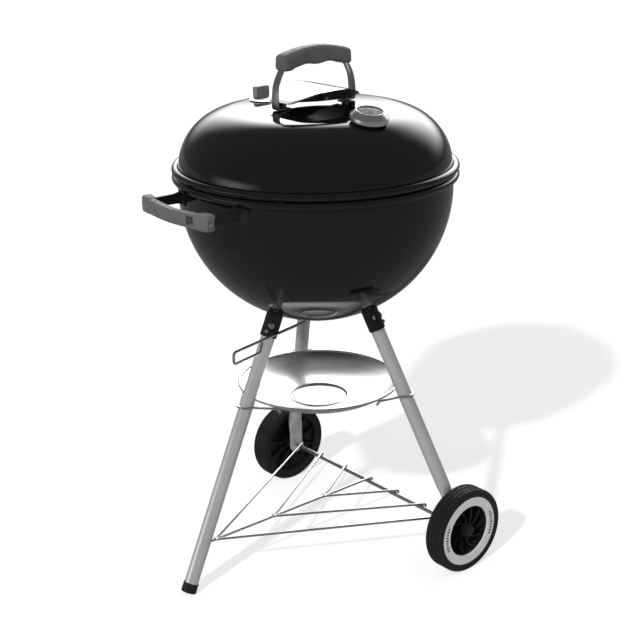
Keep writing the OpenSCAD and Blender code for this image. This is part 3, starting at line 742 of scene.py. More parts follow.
def build_thermometer(case, face, ink, needle, glass):
    lens = half("thermo_lens", 1)
    rim = [(29 * MM, 0.5 * MM), (31 * MM, 3 * MM), (31 * MM, 9.6 * MM), (30.4 * MM, 10.8 * MM)]
    profile = [(5 * MM, 1 * MM)] + rim + arc(23.2 * MM, 14.2 * MM, 2.2 * MM, 20, 90, 5)
    profile += arc(22.2 * MM, 17.2 * MM, 1.5 * MM, 0, 180, 10)
    profile += [(lens + 0.7 * MM, 16.8 * MM), (lens + 0.4 * MM, 14 * MM), (5 * MM, 14 * MM)]
    mesh = placed(lathe_mesh(profile, 128), THERMO)
    add("thermometer_case", mesh, "lid", "case_steel", case, "thermo_case", sharp=38)

    plate = lathe_mesh([(0, 14.1 * MM), (lens, 14.1 * MM), (lens, 14.6 * MM), (0, 14.6 * MM)], 96)
    add("thermometer_face", placed(plate, THERMO), "lid", "dial_face", face, "thermo_dial")

    marks = []
    for k in range(26):
        length = (3.4 if k % 5 == 0 else 2) * MM
        width = (0.7 if k % 5 == 0 else 0.4) * MM
        mark = block_mesh((length, width, 0.12 * MM), (lens - 1.4 * MM - length / 2, 0, 14.66 * MM), 0)
        marks.append(placed(mark, Matrix.Rotation(math.radians(55 - 10 * k), 4, "Z")))
    band = [(lens - 7.2 * MM, -1), (lens - 6.4 * MM, 1)]
    arc_outer = arc(0, 0, band[1][0], -195, 55, 60)
    arc_inner = arc(0, 0, band[0][0], 55, -195, 60)
    marks.append(prism_mesh(arc_outer + arc_inner, 14.6 * MM, 14.7 * MM))
    add("thermometer_marks", placed(joined(marks), THERMO), "lid", "needle_black", ink)

    pointer = [(-5.5, -1.1), (0, -1.3), (15.5, -0.25), (16, 0), (15.5, 0.25), (0, 1.3), (-5.5, 1.1)]
    blade = prism_mesh([(x * MM, y * MM) for x, y in pointer], 15.3 * MM, 15.8 * MM)
    hub = lathe_mesh([(0, 14.8 * MM), (2.4 * MM, 14.8 * MM), (2.4 * MM, 16 * MM), (1.8 * MM, 16.3 * MM),
                      (0, 16.4 * MM)], 32)
    add("thermometer_needle", placed(joined([blade, hub]), THERMO), "needle", "needle_black", needle,
        "thermo_needle")

    dome = [(0, 16.6 * MM), (lens, 16.6 * MM), (lens, 17 * MM)]
    dome += [(lens * (1 - k / 12), (17 + 0.5 * (1 - (1 - k / 12) ** 2)) * MM) for k in range(1, 13)]
    add("thermometer_lens", placed(lathe_mesh(dome, 96), THERMO), "lid", "lens_glass", glass, "thermo_lens")


# ---------------------------------------------------------------- damper

DAMPER_R = 45 * MM


def build_damper(sheet, tab, rivet):
    profile = [(0, 0.7 * MM), (DAMPER_R - 4 * MM, 0.7 * MM), (DAMPER_R - 1.5 * MM, 0.5 * MM),
               (DAMPER_R, 0.6 * MM), (DAMPER_R, 1.2 * MM), (DAMPER_R - 1 * MM, 1.7 * MM),
               (DAMPER_R - 4 * MM, 1.9 * MM), (16 * MM, 1.9 * MM), (13.5 * MM, 2.5 * MM),
               (8 * MM, 2.5 * MM), (7 * MM, 2.0 * MM), (0, 2.0 * MM)]
    disc = placed(lathe_mesh(profile, 128), DAMPER)
    add("damper_plate", cut(disc, damper_hole_cutters()), "damper", "sheet_aluminium", sheet, "damper_disc")

    body = block_mesh((11 * MM, 27.6 * MM, 16.8 * MM), (37 * MM, 0, 10.3 * MM), 3 * MM)
    ribs = [block_mesh((12 * MM, 1.6 * MM, 9 * MM), (37 * MM, y * MM, 10.5 * MM), 0.6 * MM)
            for y in (-8, -4, 0, 4, 8)]
    add("damper_knob", placed(joined([body, *ribs]), DAMPER), "damper", "grip_plastic", tab, "damper_tab")

    head = lathe_mesh([(0, 2.2 * MM), (5.4 * MM, 2.2 * MM), (5.6 * MM, 2.7 * MM), (4.6 * MM, 3.7 * MM),
                       (2.4 * MM, 4.3 * MM), (0, 4.4 * MM)], 48)
    shank = lathe_mesh([(0, -3.5 * MM), (6.4 * MM, -3.5 * MM), (6.4 * MM, -2 * MM), (3 * MM, -1.9 * MM),
                        (3 * MM, 2.3 * MM), (0, 2.3 * MM)], 48)
    add("damper_rivet_head", placed(joined([head, shank]), DAMPER), "lid", "fastener_steel", rivet,
        "damper_rivet")


# ---------------------------------------------------------------- side handle

GRIP_REACH = KETTLE.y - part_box("side_grip")[0].y
GRIP_BOW = 410 * MM
SIDE_HALF = half("side_grip", 0)
SIDE_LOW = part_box("side_grip")[0].z
SIDE_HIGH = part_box("side_grip")[1].z
ARM_X = 78 * MM


def bowed(x, inset):
    """Distance from the kettle's axis of the side grip's front, moved inwards by inset."""
    return GRIP_REACH - GRIP_BOW + math.sqrt((GRIP_BOW - inset) ** 2 - x ** 2)


def build_side_grip(material):
    """Channel with a deep top lip, a flat front and thick ends around the arms."""
    low, high = SIDE_LOW, SIDE_HIGH
    sections = []
    stations = [math.sin(math.pi / 2 * (2 * i / 64 - 1)) for i in range(65)]
    for t in stations:
        x = t * SIDE_HALF
        ends = 1 / (1 + math.exp(-(abs(x) / MM - 64) / 1.6))
        close = max(0.0, (abs(x) - SIDE_HALF + 4 * MM) / (4 * MM))
        shrink = 1 - 0.3 * (1 - math.sqrt(max(0, 1 - close ** 2)))
        lip = (15 + 3 * ends) * MM
        web = (6.5 + 9.5 * ends) * MM
        under = (9 + 8 * ends) * MM
        top = high - (2.4 * (1 - ends) + 0.9 * math.cos(math.pi * min(1, abs(x) / (64 * MM)))) * MM
        bottom = low + (0.6 + 1.4 * (1 - ends) * abs(t)) * MM
        outline = [(0.6 * MM, bottom + 2.5 * MM), (0, (low + high) / 2), (0.6 * MM, top - 3 * MM),
                   (1.2 * MM, top - 1.2 * MM), (3 * MM, top), (lip - 1.5 * MM, top), (lip, top - 1.5 * MM),
                   (lip - 1 * MM, top - 4 * MM), (web, top - 4.8 * MM), (web, bottom + 4.5 * MM),
                   (under - 0.6 * MM, bottom + 3.6 * MM), (under, bottom + 1.2 * MM),
                   (under - 1.4 * MM, bottom), (3 * MM, bottom), (1.3 * MM, bottom + 0.8 * MM)]
        middle_z = (top + bottom) / 2
        ring = []
        for inset, z in smooth_outline(outline):
            reach = bowed(min(abs(x), SIDE_HALF), 0) - 8 * MM - (inset - 8 * MM) * shrink
            ring.append((x, -reach, middle_z + (z - middle_z) * shrink))
        sections.append(ring)
    body = placed(loft_mesh(sections), TO_KETTLE)
    recess_at = (53 * MM, -bowed(53 * MM, 1.5 * MM), (low + high) / 2 + 1 * MM)
    recess = block_mesh((17 * MM, 10 * MM, 14 * MM), recess_at, 1.2 * MM)
    hole = lathe_mesh([(0, -8 * MM), (2.2 * MM, -8 * MM), (2.2 * MM, 8 * MM), (0, 8 * MM)], 24)
    at_hole = Matrix.Translation((-38 * MM, -bowed(38 * MM, 0), (low + high) / 2))
    at_hole = at_hole @ Matrix.Rotation(math.pi / 2, 4, "X")
    cutters = [placed(recess, TO_KETTLE), placed(hole, TO_KETTLE @ at_hole)]
    add("side_handle_grip", cut(body, cutters), "stand", "grip_plastic", material, "side_grip", sharp=42)


def smooth_outline(outline):
    """The outline's points with each stretch's middle added, for a softer section."""
    points = []
    for i, p in enumerate(outline):
        q = outline[(i + 1) % len(outline)]
        points += [p, ((p[0] + q[0]) / 2, (p[1] + q[1]) / 2)]
    return points


def build_arms(material):
    """Flat arms from the grip to feet that lie on the bowl."""
    parts = []
    for side in (-1, 1):
        x = side * ARM_X
        at_bowl = math.sqrt(BOWL_R ** 2 - x ** 2)
        front = GRIP_REACH - 10 * MM
        outline = [(-front, 8), (-front, 22), (-at_bowl - 12 * MM, 22), (-at_bowl + 1 * MM, 24),
                   (-at_bowl + 1 * MM, 2), (-at_bowl - 12 * MM, 5)]
        plate = prism_mesh([(y, SIDE_LOW + z * MM) for y, z in outline], -2.5 * MM, 2.5 * MM, 0.9 * MM)
        upright = Matrix(((0, 0, 1, x), (1, 0, 0, 0), (0, 1, 0, 0), (0, 0, 0, 1)))
        parts.append(placed(plate, upright))
        parts.append(foot_plate(x))
    mesh = placed(joined(parts), TO_KETTLE)
    add("side_handle_arms", mesh, "stand", "black_metal", material, "handle_arms", sharp=38)


def foot_plate(x):
    """Rounded plate bent to the bowl, with its middle pressed out where the arm lands."""
    outline = rounded_rectangle(30 * MM, 25 * MM, 5 * MM, 5)
    centre = SIDE_LOW + 13 * MM
    rings = []
    for scale, lift in ((1, -0.3), (1, 1.6), (0.94, 2.4), (0.6, 3.2), (0.35, 4.2), (0.12, 4.6)):
        ring = []
        for u, v in outline:
            z = centre + v * scale
            across = x + u * scale
            r = math.sqrt(max(0, BOWL_R ** 2 - min(0, z - BOWL_Z) ** 2)) + lift * MM
            ring.append((across, -math.sqrt(r ** 2 - across ** 2), z))
        rings.append(ring)
    return loft_mesh(rings)


# ---------------------------------------------------------------- legs

FLAT_T = 5 * MM
FLAT_HALF = 15 * MM
AXLE = Vector(JOINTS["wheel_right_spin"]["pos_m"])


def flattened_leg(side):
    """Tube drawn out flat around the axle at its lower end."""
    sign = 1 if side == "right" else -1
    plate_x = max(abs(c.x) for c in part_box("leg_right")) - FLAT_T / 2
    top = leg_matrix(side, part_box("leg_front")[1].z - 5 * MM)
    start = leg_matrix(side, 152 * MM)
    count = 48
    sections = []

    def ring(centre, wide, thin, half_w, half_t, power):
        points = []
        for k in range(count):
            a = 2 * math.pi * k / count
            c, s = math.cos(a), math.sin(a)
            u = math.copysign(abs(c) ** power, c) * half_w
            v = math.copysign(abs(s) ** power, s) * half_t
            points.append(centre + wide * u + thin * v)
        return points

    wide0, thin0 = start.col[1].to_3d(), start.col[0].to_3d()
    for matrix in (top, start):
        sections.append(ring(matrix.to_translation(), wide0, thin0, LEG_R, LEG_R, 1))
    upper = start.to_translation()
    drop = Vector((sign * plate_x, AXLE.y, AXLE.z + 26 * MM))
    wide1 = Vector((0, 1, 0)) * (1 if wide0.y > 0 else -1)
    thin1 = Vector((1, 0, 0)) * (1 if thin0.x > 0 else -1)
    for i in range(1, 13):
        t = i / 12
        ease = t * t * (3 - 2 * t)
        straight = upper + (upper - top.to_translation()).normalized() * (upper - drop).length * t
        centre = straight.lerp(upper.lerp(drop, t), ease)
        wide, thin = wide0.lerp(wide1, ease).normalized(), thin0.lerp(thin1, ease).normalized()
        half_w = LEG_R + (FLAT_HALF - LEG_R) * ease
        half_t = LEG_R + (FLAT_T / 2 - LEG_R) * ease
        sections.append(ring(centre, wide, thin, half_w, half_t, 1 - 0.45 * ease))
    for i in range(1, 15):
        z = drop.z - (drop.z - AXLE.z + FLAT_HALF - 0.4 * MM) * (1 - math.cos(math.pi / 2 * i / 14)) ** 0.6
        fall = max(0, AXLE.z - z)
        half_w = math.sqrt(max(FLAT_HALF ** 2 - fall ** 2, (2 * MM) ** 2))
        sections.append(ring(Vector((drop.x, drop.y, z)), wide1, thin1, half_w, FLAT_T / 2, 0.55))
    return loft_mesh(sections)


def build_legs(materials):
    for side in ("right", "left"):
        add(f"leg_{side}_tube", flattened_leg(side), "stand", "leg_aluminium", materials[side],
            f"leg_{side}", sharp=40)
    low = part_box("leg_front")[0].z + 6 * MM
    bottom, top = leg_matrix("front", low), leg_matrix("front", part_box("leg_front")[1].z - 5 * MM)
    length = (top.to_translation() - bottom.to_translation()).length
    inner = LEG_R - WALL
    tube = lathe_mesh([(inner, 0), (LEG_R - 0.3 * MM, 0), (LEG_R, 0.3 * MM), (LEG_R, length),
                       (inner, length)], 96)
    add("leg_front_tube", tube, "stand", "leg_aluminium", materials["front"], "leg_front", matrix=bottom)


def build_foot_cap(material):
    """Ribbed shoe with a level sole and a rolled mouth."""
    cap_r = 13.4 * MM
    base = leg_matrix("front", 3.5 * MM)
    length = 17 * MM
    rows = [(cap_r - 2 * MM, 0), (cap_r - 0.7 * MM, 0.3 * MM), (cap_r - 0.1 * MM, 1.4 * MM),
            (cap_r - 0.3 * MM, 8 * MM), (cap_r - 0.4 * MM, length - 2.4 * MM),
            (cap_r, length - 1.8 * MM), (cap_r, length - 0.5 * MM),
            (cap_r - 0.5 * MM, length), (LEG_R + 0.05 * MM, length), (LEG_R + 0.05 * MM, length - 3 * MM),
            (0, length - 3 * MM)]
    mesh = placed(lathe_mesh([(0, 0)] + rows, 72), base)
    for vertex in mesh.vertices:
        vertex.co.z = max(vertex.co.z, 0.0)
    add("foot_shoe", mesh, "stand", "black_plastic", material, "foot_cap", sharp=40)


def build_socket_screws(material):
    """Slotted round heads in the sockets."""
    parts = []
    socket_r = 14.5 * MM
    for side in LEG_TURNS:
        at = leg_matrix(side, 442 * MM) @ Matrix.Rotation(math.radians(50), 4, "Z")
        at = at @ Matrix.Rotation(math.pi / 2, 4, "Y")
        profile = [(0, LEG_R - 4 * MM), (2.4 * MM, LEG_R - 4 * MM), (2.4 * MM, socket_r + 0.1 * MM),
                   (5.5 * MM, socket_r + 0.1 * MM), (5.6 * MM, socket_r + 0.7 * MM)]
        for a in (math.radians(turn) for turn in range(15, 91, 15)):
            profile.append((5.6 * MM * math.cos(a), socket_r + (0.7 + 2.3 * math.sin(a)) * MM))
        dome = lathe_mesh(profile, 40)
        slot = block_mesh((8 * MM, 1.2 * MM, 2 * MM), (0, 0, socket_r + 3 * MM), 0)
        parts.append(placed(cut(dome, [slot]), at))
    add("socket_screw_heads", joined(parts), "stand", "fastener_steel", material, "socket_screws")


# ---------------------------------------------------------------- wheels

WHEEL_R = AXLE.z
TYRE_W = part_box("tyre_right")[1].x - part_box("tyre_right")[0].x
TREAD_IN = 63 * MM


def build_tyre(side, material):
    """Tread with three grooves and fine ribs across the blocks between them."""
    groove_depth, shoulder = 1.6 * MM, 4.5 * MM
    grooves = [k * TYRE_W / 4 for k in (1, 2, 3)]
    profile = [(TREAD_IN, 0.8 * MM), (TREAD_IN + 1 * MM, 0)]
    profile += [(WHEEL_R - 9 * MM, 0), (WHEEL_R - 8.4 * MM, 0.8 * MM), (WHEEL_R - 7.4 * MM, 0.8 * MM),
                (WHEEL_R - 6.8 * MM, 0)]
    profile += arc(WHEEL_R - shoulder, shoulder, shoulder, -75, 0, 6)
    for z in grooves:
        profile += [(WHEEL_R, z - 1.3 * MM), (WHEEL_R - groove_depth, z - 0.9 * MM),
                    (WHEEL_R - groove_depth, z + 0.9 * MM), (WHEEL_R, z + 1.3 * MM)]
    profile += arc(WHEEL_R - shoulder, TYRE_W - shoulder, shoulder, 0, 75, 6)
    profile += [(WHEEL_R - 6.8 * MM, TYRE_W), (WHEEL_R - 7.4 * MM, TYRE_W - 0.8 * MM),
                (WHEEL_R - 8.4 * MM, TYRE_W - 0.8 * MM), (WHEEL_R - 9 * MM, TYRE_W),
                (TREAD_IN + 1 * MM, TYRE_W), (TREAD_IN, TYRE_W - 0.8 * MM)]
    ribs = 96
    mesh = lathe_mesh(profile, ribs * 4)
    for vertex in mesh.vertices:
        r = math.hypot(vertex.co.x, vertex.co.y)
        if r > WHEEL_R - 1.3 * MM and 2 * MM < vertex.co.z < TYRE_W - 2 * MM:
            turn = round(math.atan2(vertex.co.y, vertex.co.x) / (2 * math.pi) * ribs * 4)
            if turn % 4 < 2:
                vertex.co.x *= (r - 1.3 * MM) / r
                vertex.co.y *= (r - 1.3 * MM) / r
    add(f"tyre_{side}_tread", placed(mesh, wheel_matrix(side)), f"wheel_{side}", "tyre_plastic", material,
        f"tyre_{side}", sharp=24)


def build_wheel(side, material):
    """Moulded rim: ribbed web inside, swept vanes outside."""
    hub_in, hub_out, hub_r = -3 * MM, 30 * MM, 13 * MM
    rim = TREAD_IN - 0.1 * MM
    profile = [(4.1 * MM, hub_in), (hub_r - 1 * MM, hub_in), (hub_r, hub_in + 1 * MM), (hub_r, 11.5 * MM),
               (40 * MM, 11.5 * MM), (54 * MM, 9 * MM), (57 * MM, 1.5 * MM), (58 * MM, 1 * MM), (rim, 1 * MM),
               (rim, 30 * MM), (47 * MM, 30 * MM), (45 * MM, 29 * MM), (42.5 * MM, 19 * MM),
               (40 * MM, 15 * MM),
               (hub_r + 2 * MM, 15 * MM), (hub_r, 17 * MM), (hub_r - 1 * MM, hub_out - 1 * MM),
               (hub_r - 2 * MM, hub_out), (4.1 * MM, hub_out)]
    parts = [lathe_mesh(profile, 128)]
    for k in range(10):
        turn = Matrix.Rotation(2 * math.pi * k / 10, 4, "Z")
        rib = prism_mesh([(hub_r - 1 * MM, -0.8 * MM), (56 * MM, -0.8 * MM), (56 * MM, 0.8 * MM),
                          (hub_r - 1 * MM, 0.8 * MM)], 2.5 * MM, 12 * MM, 0.3 * MM)
        parts.append(placed(rib, turn))
        vane = []
        for i in range(9):
            t = i / 8
            r = (hub_r - 1.5 * MM) + (43.5 * MM - hub_r) * t
            a = 0.42 * t ** 1.4
            corners = ((-1.2 * MM, 14 * MM), (1.2 * MM + 3.2 * MM * t, 14 * MM),
                       (2.6 * MM * t, (25 + 1.5 * t) * MM),
                       (-1.2 * MM + 0.6 * MM * t, (26 + 1.5 * t) * MM))
            along, across = Vector((math.cos(a), math.sin(a), 0)), Vector((-math.sin(a), math.cos(a), 0))
            vane.append([turn @ (along * r + across * w + Vector((0, 0, z))) for w, z in corners])
        parts.append(loft_mesh(vane))
    add(f"wheel_{side}_rim", placed(joined(parts), wheel_matrix(side)), f"wheel_{side}", "black_plastic",
        material, f"wheel_{side}", sharp=30)


def build_whitewall(side, white, ink):
    profile = [(TREAD_IN - 0.4 * MM, 30 * MM), (TREAD_IN - 0.4 * MM, 33 * MM),
               (TREAD_IN - 1.2 * MM, 33.6 * MM), (47.2 * MM, 33.6 * MM),
               (46.4 * MM, 33 * MM), (46 * MM, 30 * MM)]
    mesh = placed(lathe_mesh(profile, 128), wheel_matrix(side))
    add(f"whitewall_{side}_ring", mesh, f"wheel_{side}", "white_plastic", white, f"whitewall_{side}")
    marks = []
    for group in range(2):
        for k in range(9):
            height = (5.6 if k % 3 == 1 else 4.2) * MM
            mark = block_mesh((height, 2.6 * MM, 0.25 * MM), (54.5 * MM, 0, 33.65 * MM), 0)
            turn = math.radians(90 + 180 * group + 5.6 * (k - 4))
            marks.append(placed(mark, Matrix.Rotation(turn, 4, "Z")))
    mesh = placed(joined(marks), wheel_matrix(side))
    add(f"whitewall_{side}_marks", mesh, f"wheel_{side}", "black_plastic", ink)


def build_hub_cap(side, material):
    base, top = 30.2 * MM, 35 * MM
    profile = [(8.3 * MM, base), (10.6 * MM, base), (10.6 * MM, top - 2.4 * MM), (10 * MM, top - 0.9 * MM),
               (8.6 * MM, top - 0.1 * MM), (5 * MM, top), (4.2 * MM, top - 0.6 * MM), (0, top - 0.6 * MM),
               (0, top - 2 * MM), (8.3 * MM, top - 2.4 * MM)]
    mesh = placed(lathe_mesh(profile, 64), wheel_matrix(side))
    add(f"hub_cap_{side}_dome", mesh, f"wheel_{side}", "black_plastic", material, f"hub_cap_{side}", sharp=30)


# ---------------------------------------------------------------- ash pan, rack and clips

def build_pan(material):
    pan_r, floor_r, drop, edge, thick = half("ash_pan", 0), 54 * MM, 30 * MM, 2.2 * MM, 1 * MM
    rim_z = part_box("ash_pan")[1].z - edge
    lip = pan_r - edge
    dish = ((lip - floor_r) ** 2 + drop ** 2) / (2 * drop)
    base = rim_z - drop
    end = math.degrees(math.asin((lip - floor_r) / dish))
    inner = [(0, base - 2 * MM), (floor_r - 7 * MM, base - 2 * MM)]
    inner += smooth_profile([(floor_r - 6 * MM, base - 1.6 * MM), (floor_r - 4 * MM, base + 1.2 * MM),
                             (floor_r - 2.6 * MM, base + 1.9 * MM), (floor_r - 0.8 * MM, base + 0.9 * MM)])
    inner += arc(floor_r, base + dish, dish, -89, -90 + end - 1, 30)
    rim = arc(lip, rim_z, edge, 170, -150, 20)
    outer = arc(floor_r, base + dish, dish + thick, -90 + end - 1, -90, 30)
    outer += [(floor_r - 4 * MM, base), (floor_r - 6 * MM, base - 2.8 * MM), (0, base - 3 * MM)]
    mesh = placed(lathe_mesh(inner + rim + outer, 160), TO_KETTLE)
    add("ash_pan_dish", mesh, "ash_pan", "sheet_aluminium", material, "ash_pan", sharp=50)


def smooth_profile(points, steps=5):
    path = smooth_path([Vector((x, 0, z)) for x, z in points], steps)
    return [(p.x, p.z) for p in path]


RACK_R = 2.2 * MM
RACK_Z = AXLE.z + 4 * MM + RACK_R


def build_rack(material):
    """Long centre wire with pairs of branches that hook over the axle."""
    axle_y = AXLE.y - KETTLE.y
    over = axle_y + 4 * MM + RACK_R
    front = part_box("bottom_rack")[0].y - KETTLE.y + 1.8 * MM

    def hooked(x, y):
        """Wire from (x, y) to the axle at the branch's end, bent down behind it."""
        start = Vector((x[0], y, RACK_Z))
        return [start, (x[1], over, RACK_Z), (x[1], over, RACK_Z - 9 * MM)]

    runs = [[(0, front, RACK_Z), (0, over, RACK_Z), (0, over, RACK_Z - 9 * MM)]]
    for side in (-1, 1):
        for near, far, y in ((2.2, 206, -232), (1.8, 145, -105), (1.6, 73, 12)):
            runs.append(hooked((side * near * MM, side * far * MM), y * MM))
    parts = [wire_mesh(rounded_path(run, 3 * MM, 5), RACK_R, count=12) for run in runs]
    for y in (-232, -105, 12):
        tip = [(-4 * MM, (y - 3) * MM, RACK_Z + 0.6 * MM), (4 * MM, (y - 3) * MM, RACK_Z + 0.6 * MM)]
        parts.append(wire_mesh([Vector(p) for p in tip], RACK_R * 0.9, count=10))
    add("rack_wires", placed(joined(parts), TO_KETTLE), "stand", "wire_chrome", material, "bottom_rack")


def build_pan_clip(side, material):
    """Wire that hugs the leg and reaches under the pan's rim."""
    wire_r = 2 * MM
    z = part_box(f"pan_clip_{side}")[1].z - 1.04 * wire_r
    loop = LEG_R / math.cos(SPLAY) + wire_r + 0.3 * MM
    out = leg_distance(z)
    bend = [(out + loop * math.cos(a), loop * math.sin(a), z)
            for a in (math.radians(90 - 180 * k / 24) for k in range(25))]
    arms = [(131 * MM, 48 * MM, z), (127 * MM, 50 * MM, z - 6.5 * MM)]
    left = rounded_path([bend[0], *arms], 4 * MM, 5)
    path = left[::-1] + [Vector(p) for p in bend[1:-1]] + [Vector((p.x, -p.y, p.z)) for p in left]
    turn = Matrix.Rotation(math.radians(LEG_TURNS[side]), 4, "Z")
    mesh = placed(wire_mesh(path, wire_r, count=12), TO_KETTLE @ turn)
    add(f"pan_clip_{side}_wire", mesh, "stand", "wire_chrome", material, f"pan_clip_{side}")


# ---------------------------------------------------------------- ash sweep

def build_lever(material):
    """Wire lever bent back into a closed hand loop, welded to a collar."""
    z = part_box("sweep_lever")[1].z - 3 * MM
    length, loop, wire_r = 222 * MM, 20 * MM, 2.4 * MM
    points = [(9 * MM, 0, 0), (length, 0, 0), (length, 0, -loop), (length - 66 * MM, 0, -loop),
              (length - 72 * MM, 0, -2 * MM)]
    wire = wire_mesh(rounded_path(points, 6 * MM, 8), wire_r, count=20)
    collar = lathe_mesh([(6 * MM, -3 * MM), (10.4 * MM, -3 * MM), (11 * MM, -2.4 * MM), (11 * MM, 2.4 * MM),
                         (10.4 * MM, 3 * MM), (6 * MM, 3 * MM)], 48)
    at = TO_KETTLE @ Matrix.Translation((0, 0, z)) @ Matrix.Rotation(SWEEP_TURN, 4, "Z")
    add("sweep_lever_wire", placed(joined([wire, collar]), at), "ash_sweep", "wire_chrome", material,
        "sweep_lever")


def build_sweep_nut(material):
    low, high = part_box("sweep_nut")[0].z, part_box("sweep_nut")[1].z
    nut = hex_nut_mesh(15.4 * MM, low + 0.2 * MM, high)
    end = lathe_mesh([(0, low), (4.6 * MM, low), (5.4 * MM, low + 0.8 * MM), (5.4 * MM, high),
                      (0, high)], 32)
    add("sweep_nut_hex", placed(joined([nut, end]), TO_KETTLE), "ash_sweep", "fastener_steel", material,
        "sweep_nut")


# ---------------------------------------------------------------- grates

def grate_meshes(ring_r, z, pitch, wire_r, cross_x):
    """Parallel wires over two cross wires, and the ring they are welded to."""
    cross_r, rise = 2.2 * MM, 2.2 * MM
    count = int((ring_r - 8 * MM) / pitch)
    wires = []
    for k in range(-count, count + 1):
        reach = math.sqrt(ring_r ** 2 - (k * pitch) ** 2) - 0.5 * MM
        wires.append(wire_mesh([Vector((-reach, k * pitch, z + rise)), Vector((reach, k * pitch, z + rise))],
                               wire_r, count=12))
    low = z + rise - wire_r - cross_r - 0.05 * MM
    for x in (-cross_x, cross_x):
        reach = math.sqrt(ring_r ** 2 - x ** 2) - 0.5 * MM
        wires.append(wire_mesh([Vector((x, -reach, low)), Vector((x, reach, low))], cross_r, count=12))
    ring = wire_mesh([Vector((x, y, z)) for x, y in circle(ring_r, 96)], 3 * MM, ring=True)
    return placed(joined(wires), TO_KETTLE), placed(ring, TO_KETTLE)


def build_charcoal_grate(material):
    ring_z = middle("charcoal_ring").z
    wires, ring = grate_meshes(half("charcoal_ring", 0) - 3 * MM, ring_z, 24 * MM, 2.6 * MM, 70 * MM)
    add("charcoal_grate_wires", wires, "charcoal_grate", "grate_steel", material, "charcoal_grate")
    add("charcoal_grate_ring", ring, "charcoal_grate", "grate_steel", material, "charcoal_ring")


def build_cooking_grate(material):
    ring_z = middle("cooking_ring").z
    ring_r = half("cooking_ring", 0) - 3 * MM
    wires, ring = grate_meshes(ring_r, ring_z, 20 * MM, 2 * MM, 90 * MM)
    add("cooking_grate_wires", wires, "cooking_grate", "wire_chrome", material, "cooking_grate")
    add("cooking_grate_ring", ring, "cooking_grate", "wire_chrome", material, "cooking_ring")
    handles = []
    foot_x = math.sqrt(ring_r ** 2 - (30 * MM) ** 2) - 2 * MM
    for side in (-1, 1):
        run = [(side * foot_x, -30 * MM, ring_z + 4.9 * MM), (side * 200 * MM, -30 * MM, ring_z + 18 * MM),
               (side * 200 * MM, 30 * MM, ring_z + 18 * MM), (side * foot_x, 30 * MM, ring_z + 4.9 * MM)]
        handles.append(wire_mesh(rounded_path(run, 7 * MM, 6), 2.3 * MM, count=14))
    add("cooking_grate_handles", placed(joined(handles), TO_KETTLE), "cooking_grate", "wire_chrome", material,
        "grate_handles")


# ---------------------------------------------------------------- studio

CAMERA_TURN = math.radians(50.35)
CAMERA_REACH = 2.1636
CAMERA_HEIGHT = 1.1934
CAMERA_PITCH = math.radians(19.52)
CAMERA_YAW = math.radians(0.10)
CAMERA_ROLL = math.radians(-0.82)
CAMERA_LENS = 74.14
FLOOR_GLOW = 0.61
FLOOR_GLOSSY = 0.4
WORLD_GREY = 0.3
WORLD_GLOSSY = 0.14
KEY_ENERGY = 1.4
KEY_TURN = math.radians(110.8)
KEY_HEIGHT = math.radians(35)


def build_camera():
    camera = bpy.data.objects.new("camera", bpy.data.cameras.new("camera"))
    bpy.context.scene.collection.objects.link(camera)
    camera.data.lens = CAMERA_LENS
    camera.data.sensor_width = 36
    camera.data.clip_end = 100
    ahead = Vector((math.sin(CAMERA_YAW) * math.cos(CAMERA_PITCH),
                    math.cos(CAMERA_YAW) * math.cos(CAMERA_PITCH), -math.sin(CAMERA_PITCH)))
    right = Vector((math.cos(CAMERA_YAW), -math.sin(CAMERA_YAW), 0))
    up = right.cross(ahead)
    across = right * math.cos(CAMERA_ROLL) + up * math.sin(CAMERA_ROLL)
    above = up * math.cos(CAMERA_ROLL) - right * math.sin(CAMERA_ROLL)
    facing = Matrix((across, above, -ahead)).transposed().to_4x4()
    stand = Matrix.Translation((0, -CAMERA_REACH, CAMERA_HEIGHT)) @ facing
    camera.matrix_world = TO_KETTLE @ Matrix.Rotation(CAMERA_TURN, 4, "Z") @ stand
    bpy.context.scene.camera = camera


def emission_material(name, strength):
    """Light that fades as the mesh's own fade attribute falls."""
    material = bpy.data.materials.new(name)
    material.use_nodes = True
    nodes, links = material.node_tree.nodes, material.node_tree.links
    nodes.clear()
    output = nodes.new("ShaderNodeOutputMaterial")
    light = nodes.new("ShaderNodeEmission")
    fade = nodes.new("ShaderNodeAttribute")
    fade.attribute_name = "fade"
    level = nodes.new("ShaderNodeMapRange")
    level.inputs["To Min"].default_value = WORLD_GLOSSY
    level.inputs["To Max"].default_value = strength
    links.new(fade.outputs["Fac"], level.inputs["Value"])
    links.new(level.outputs[0], light.inputs["Strength"])
    links.new(light.outputs[0], output.inputs[0])
    return material


def soft(t, edge):
    """Rises from 0 to 1 over edge at both ends of 0 to 1."""
    if edge <= 0:
        return 1.0
    near = min(1.0, min(t, 1 - t) / edge)
    return near * near * (3 - 2 * near)


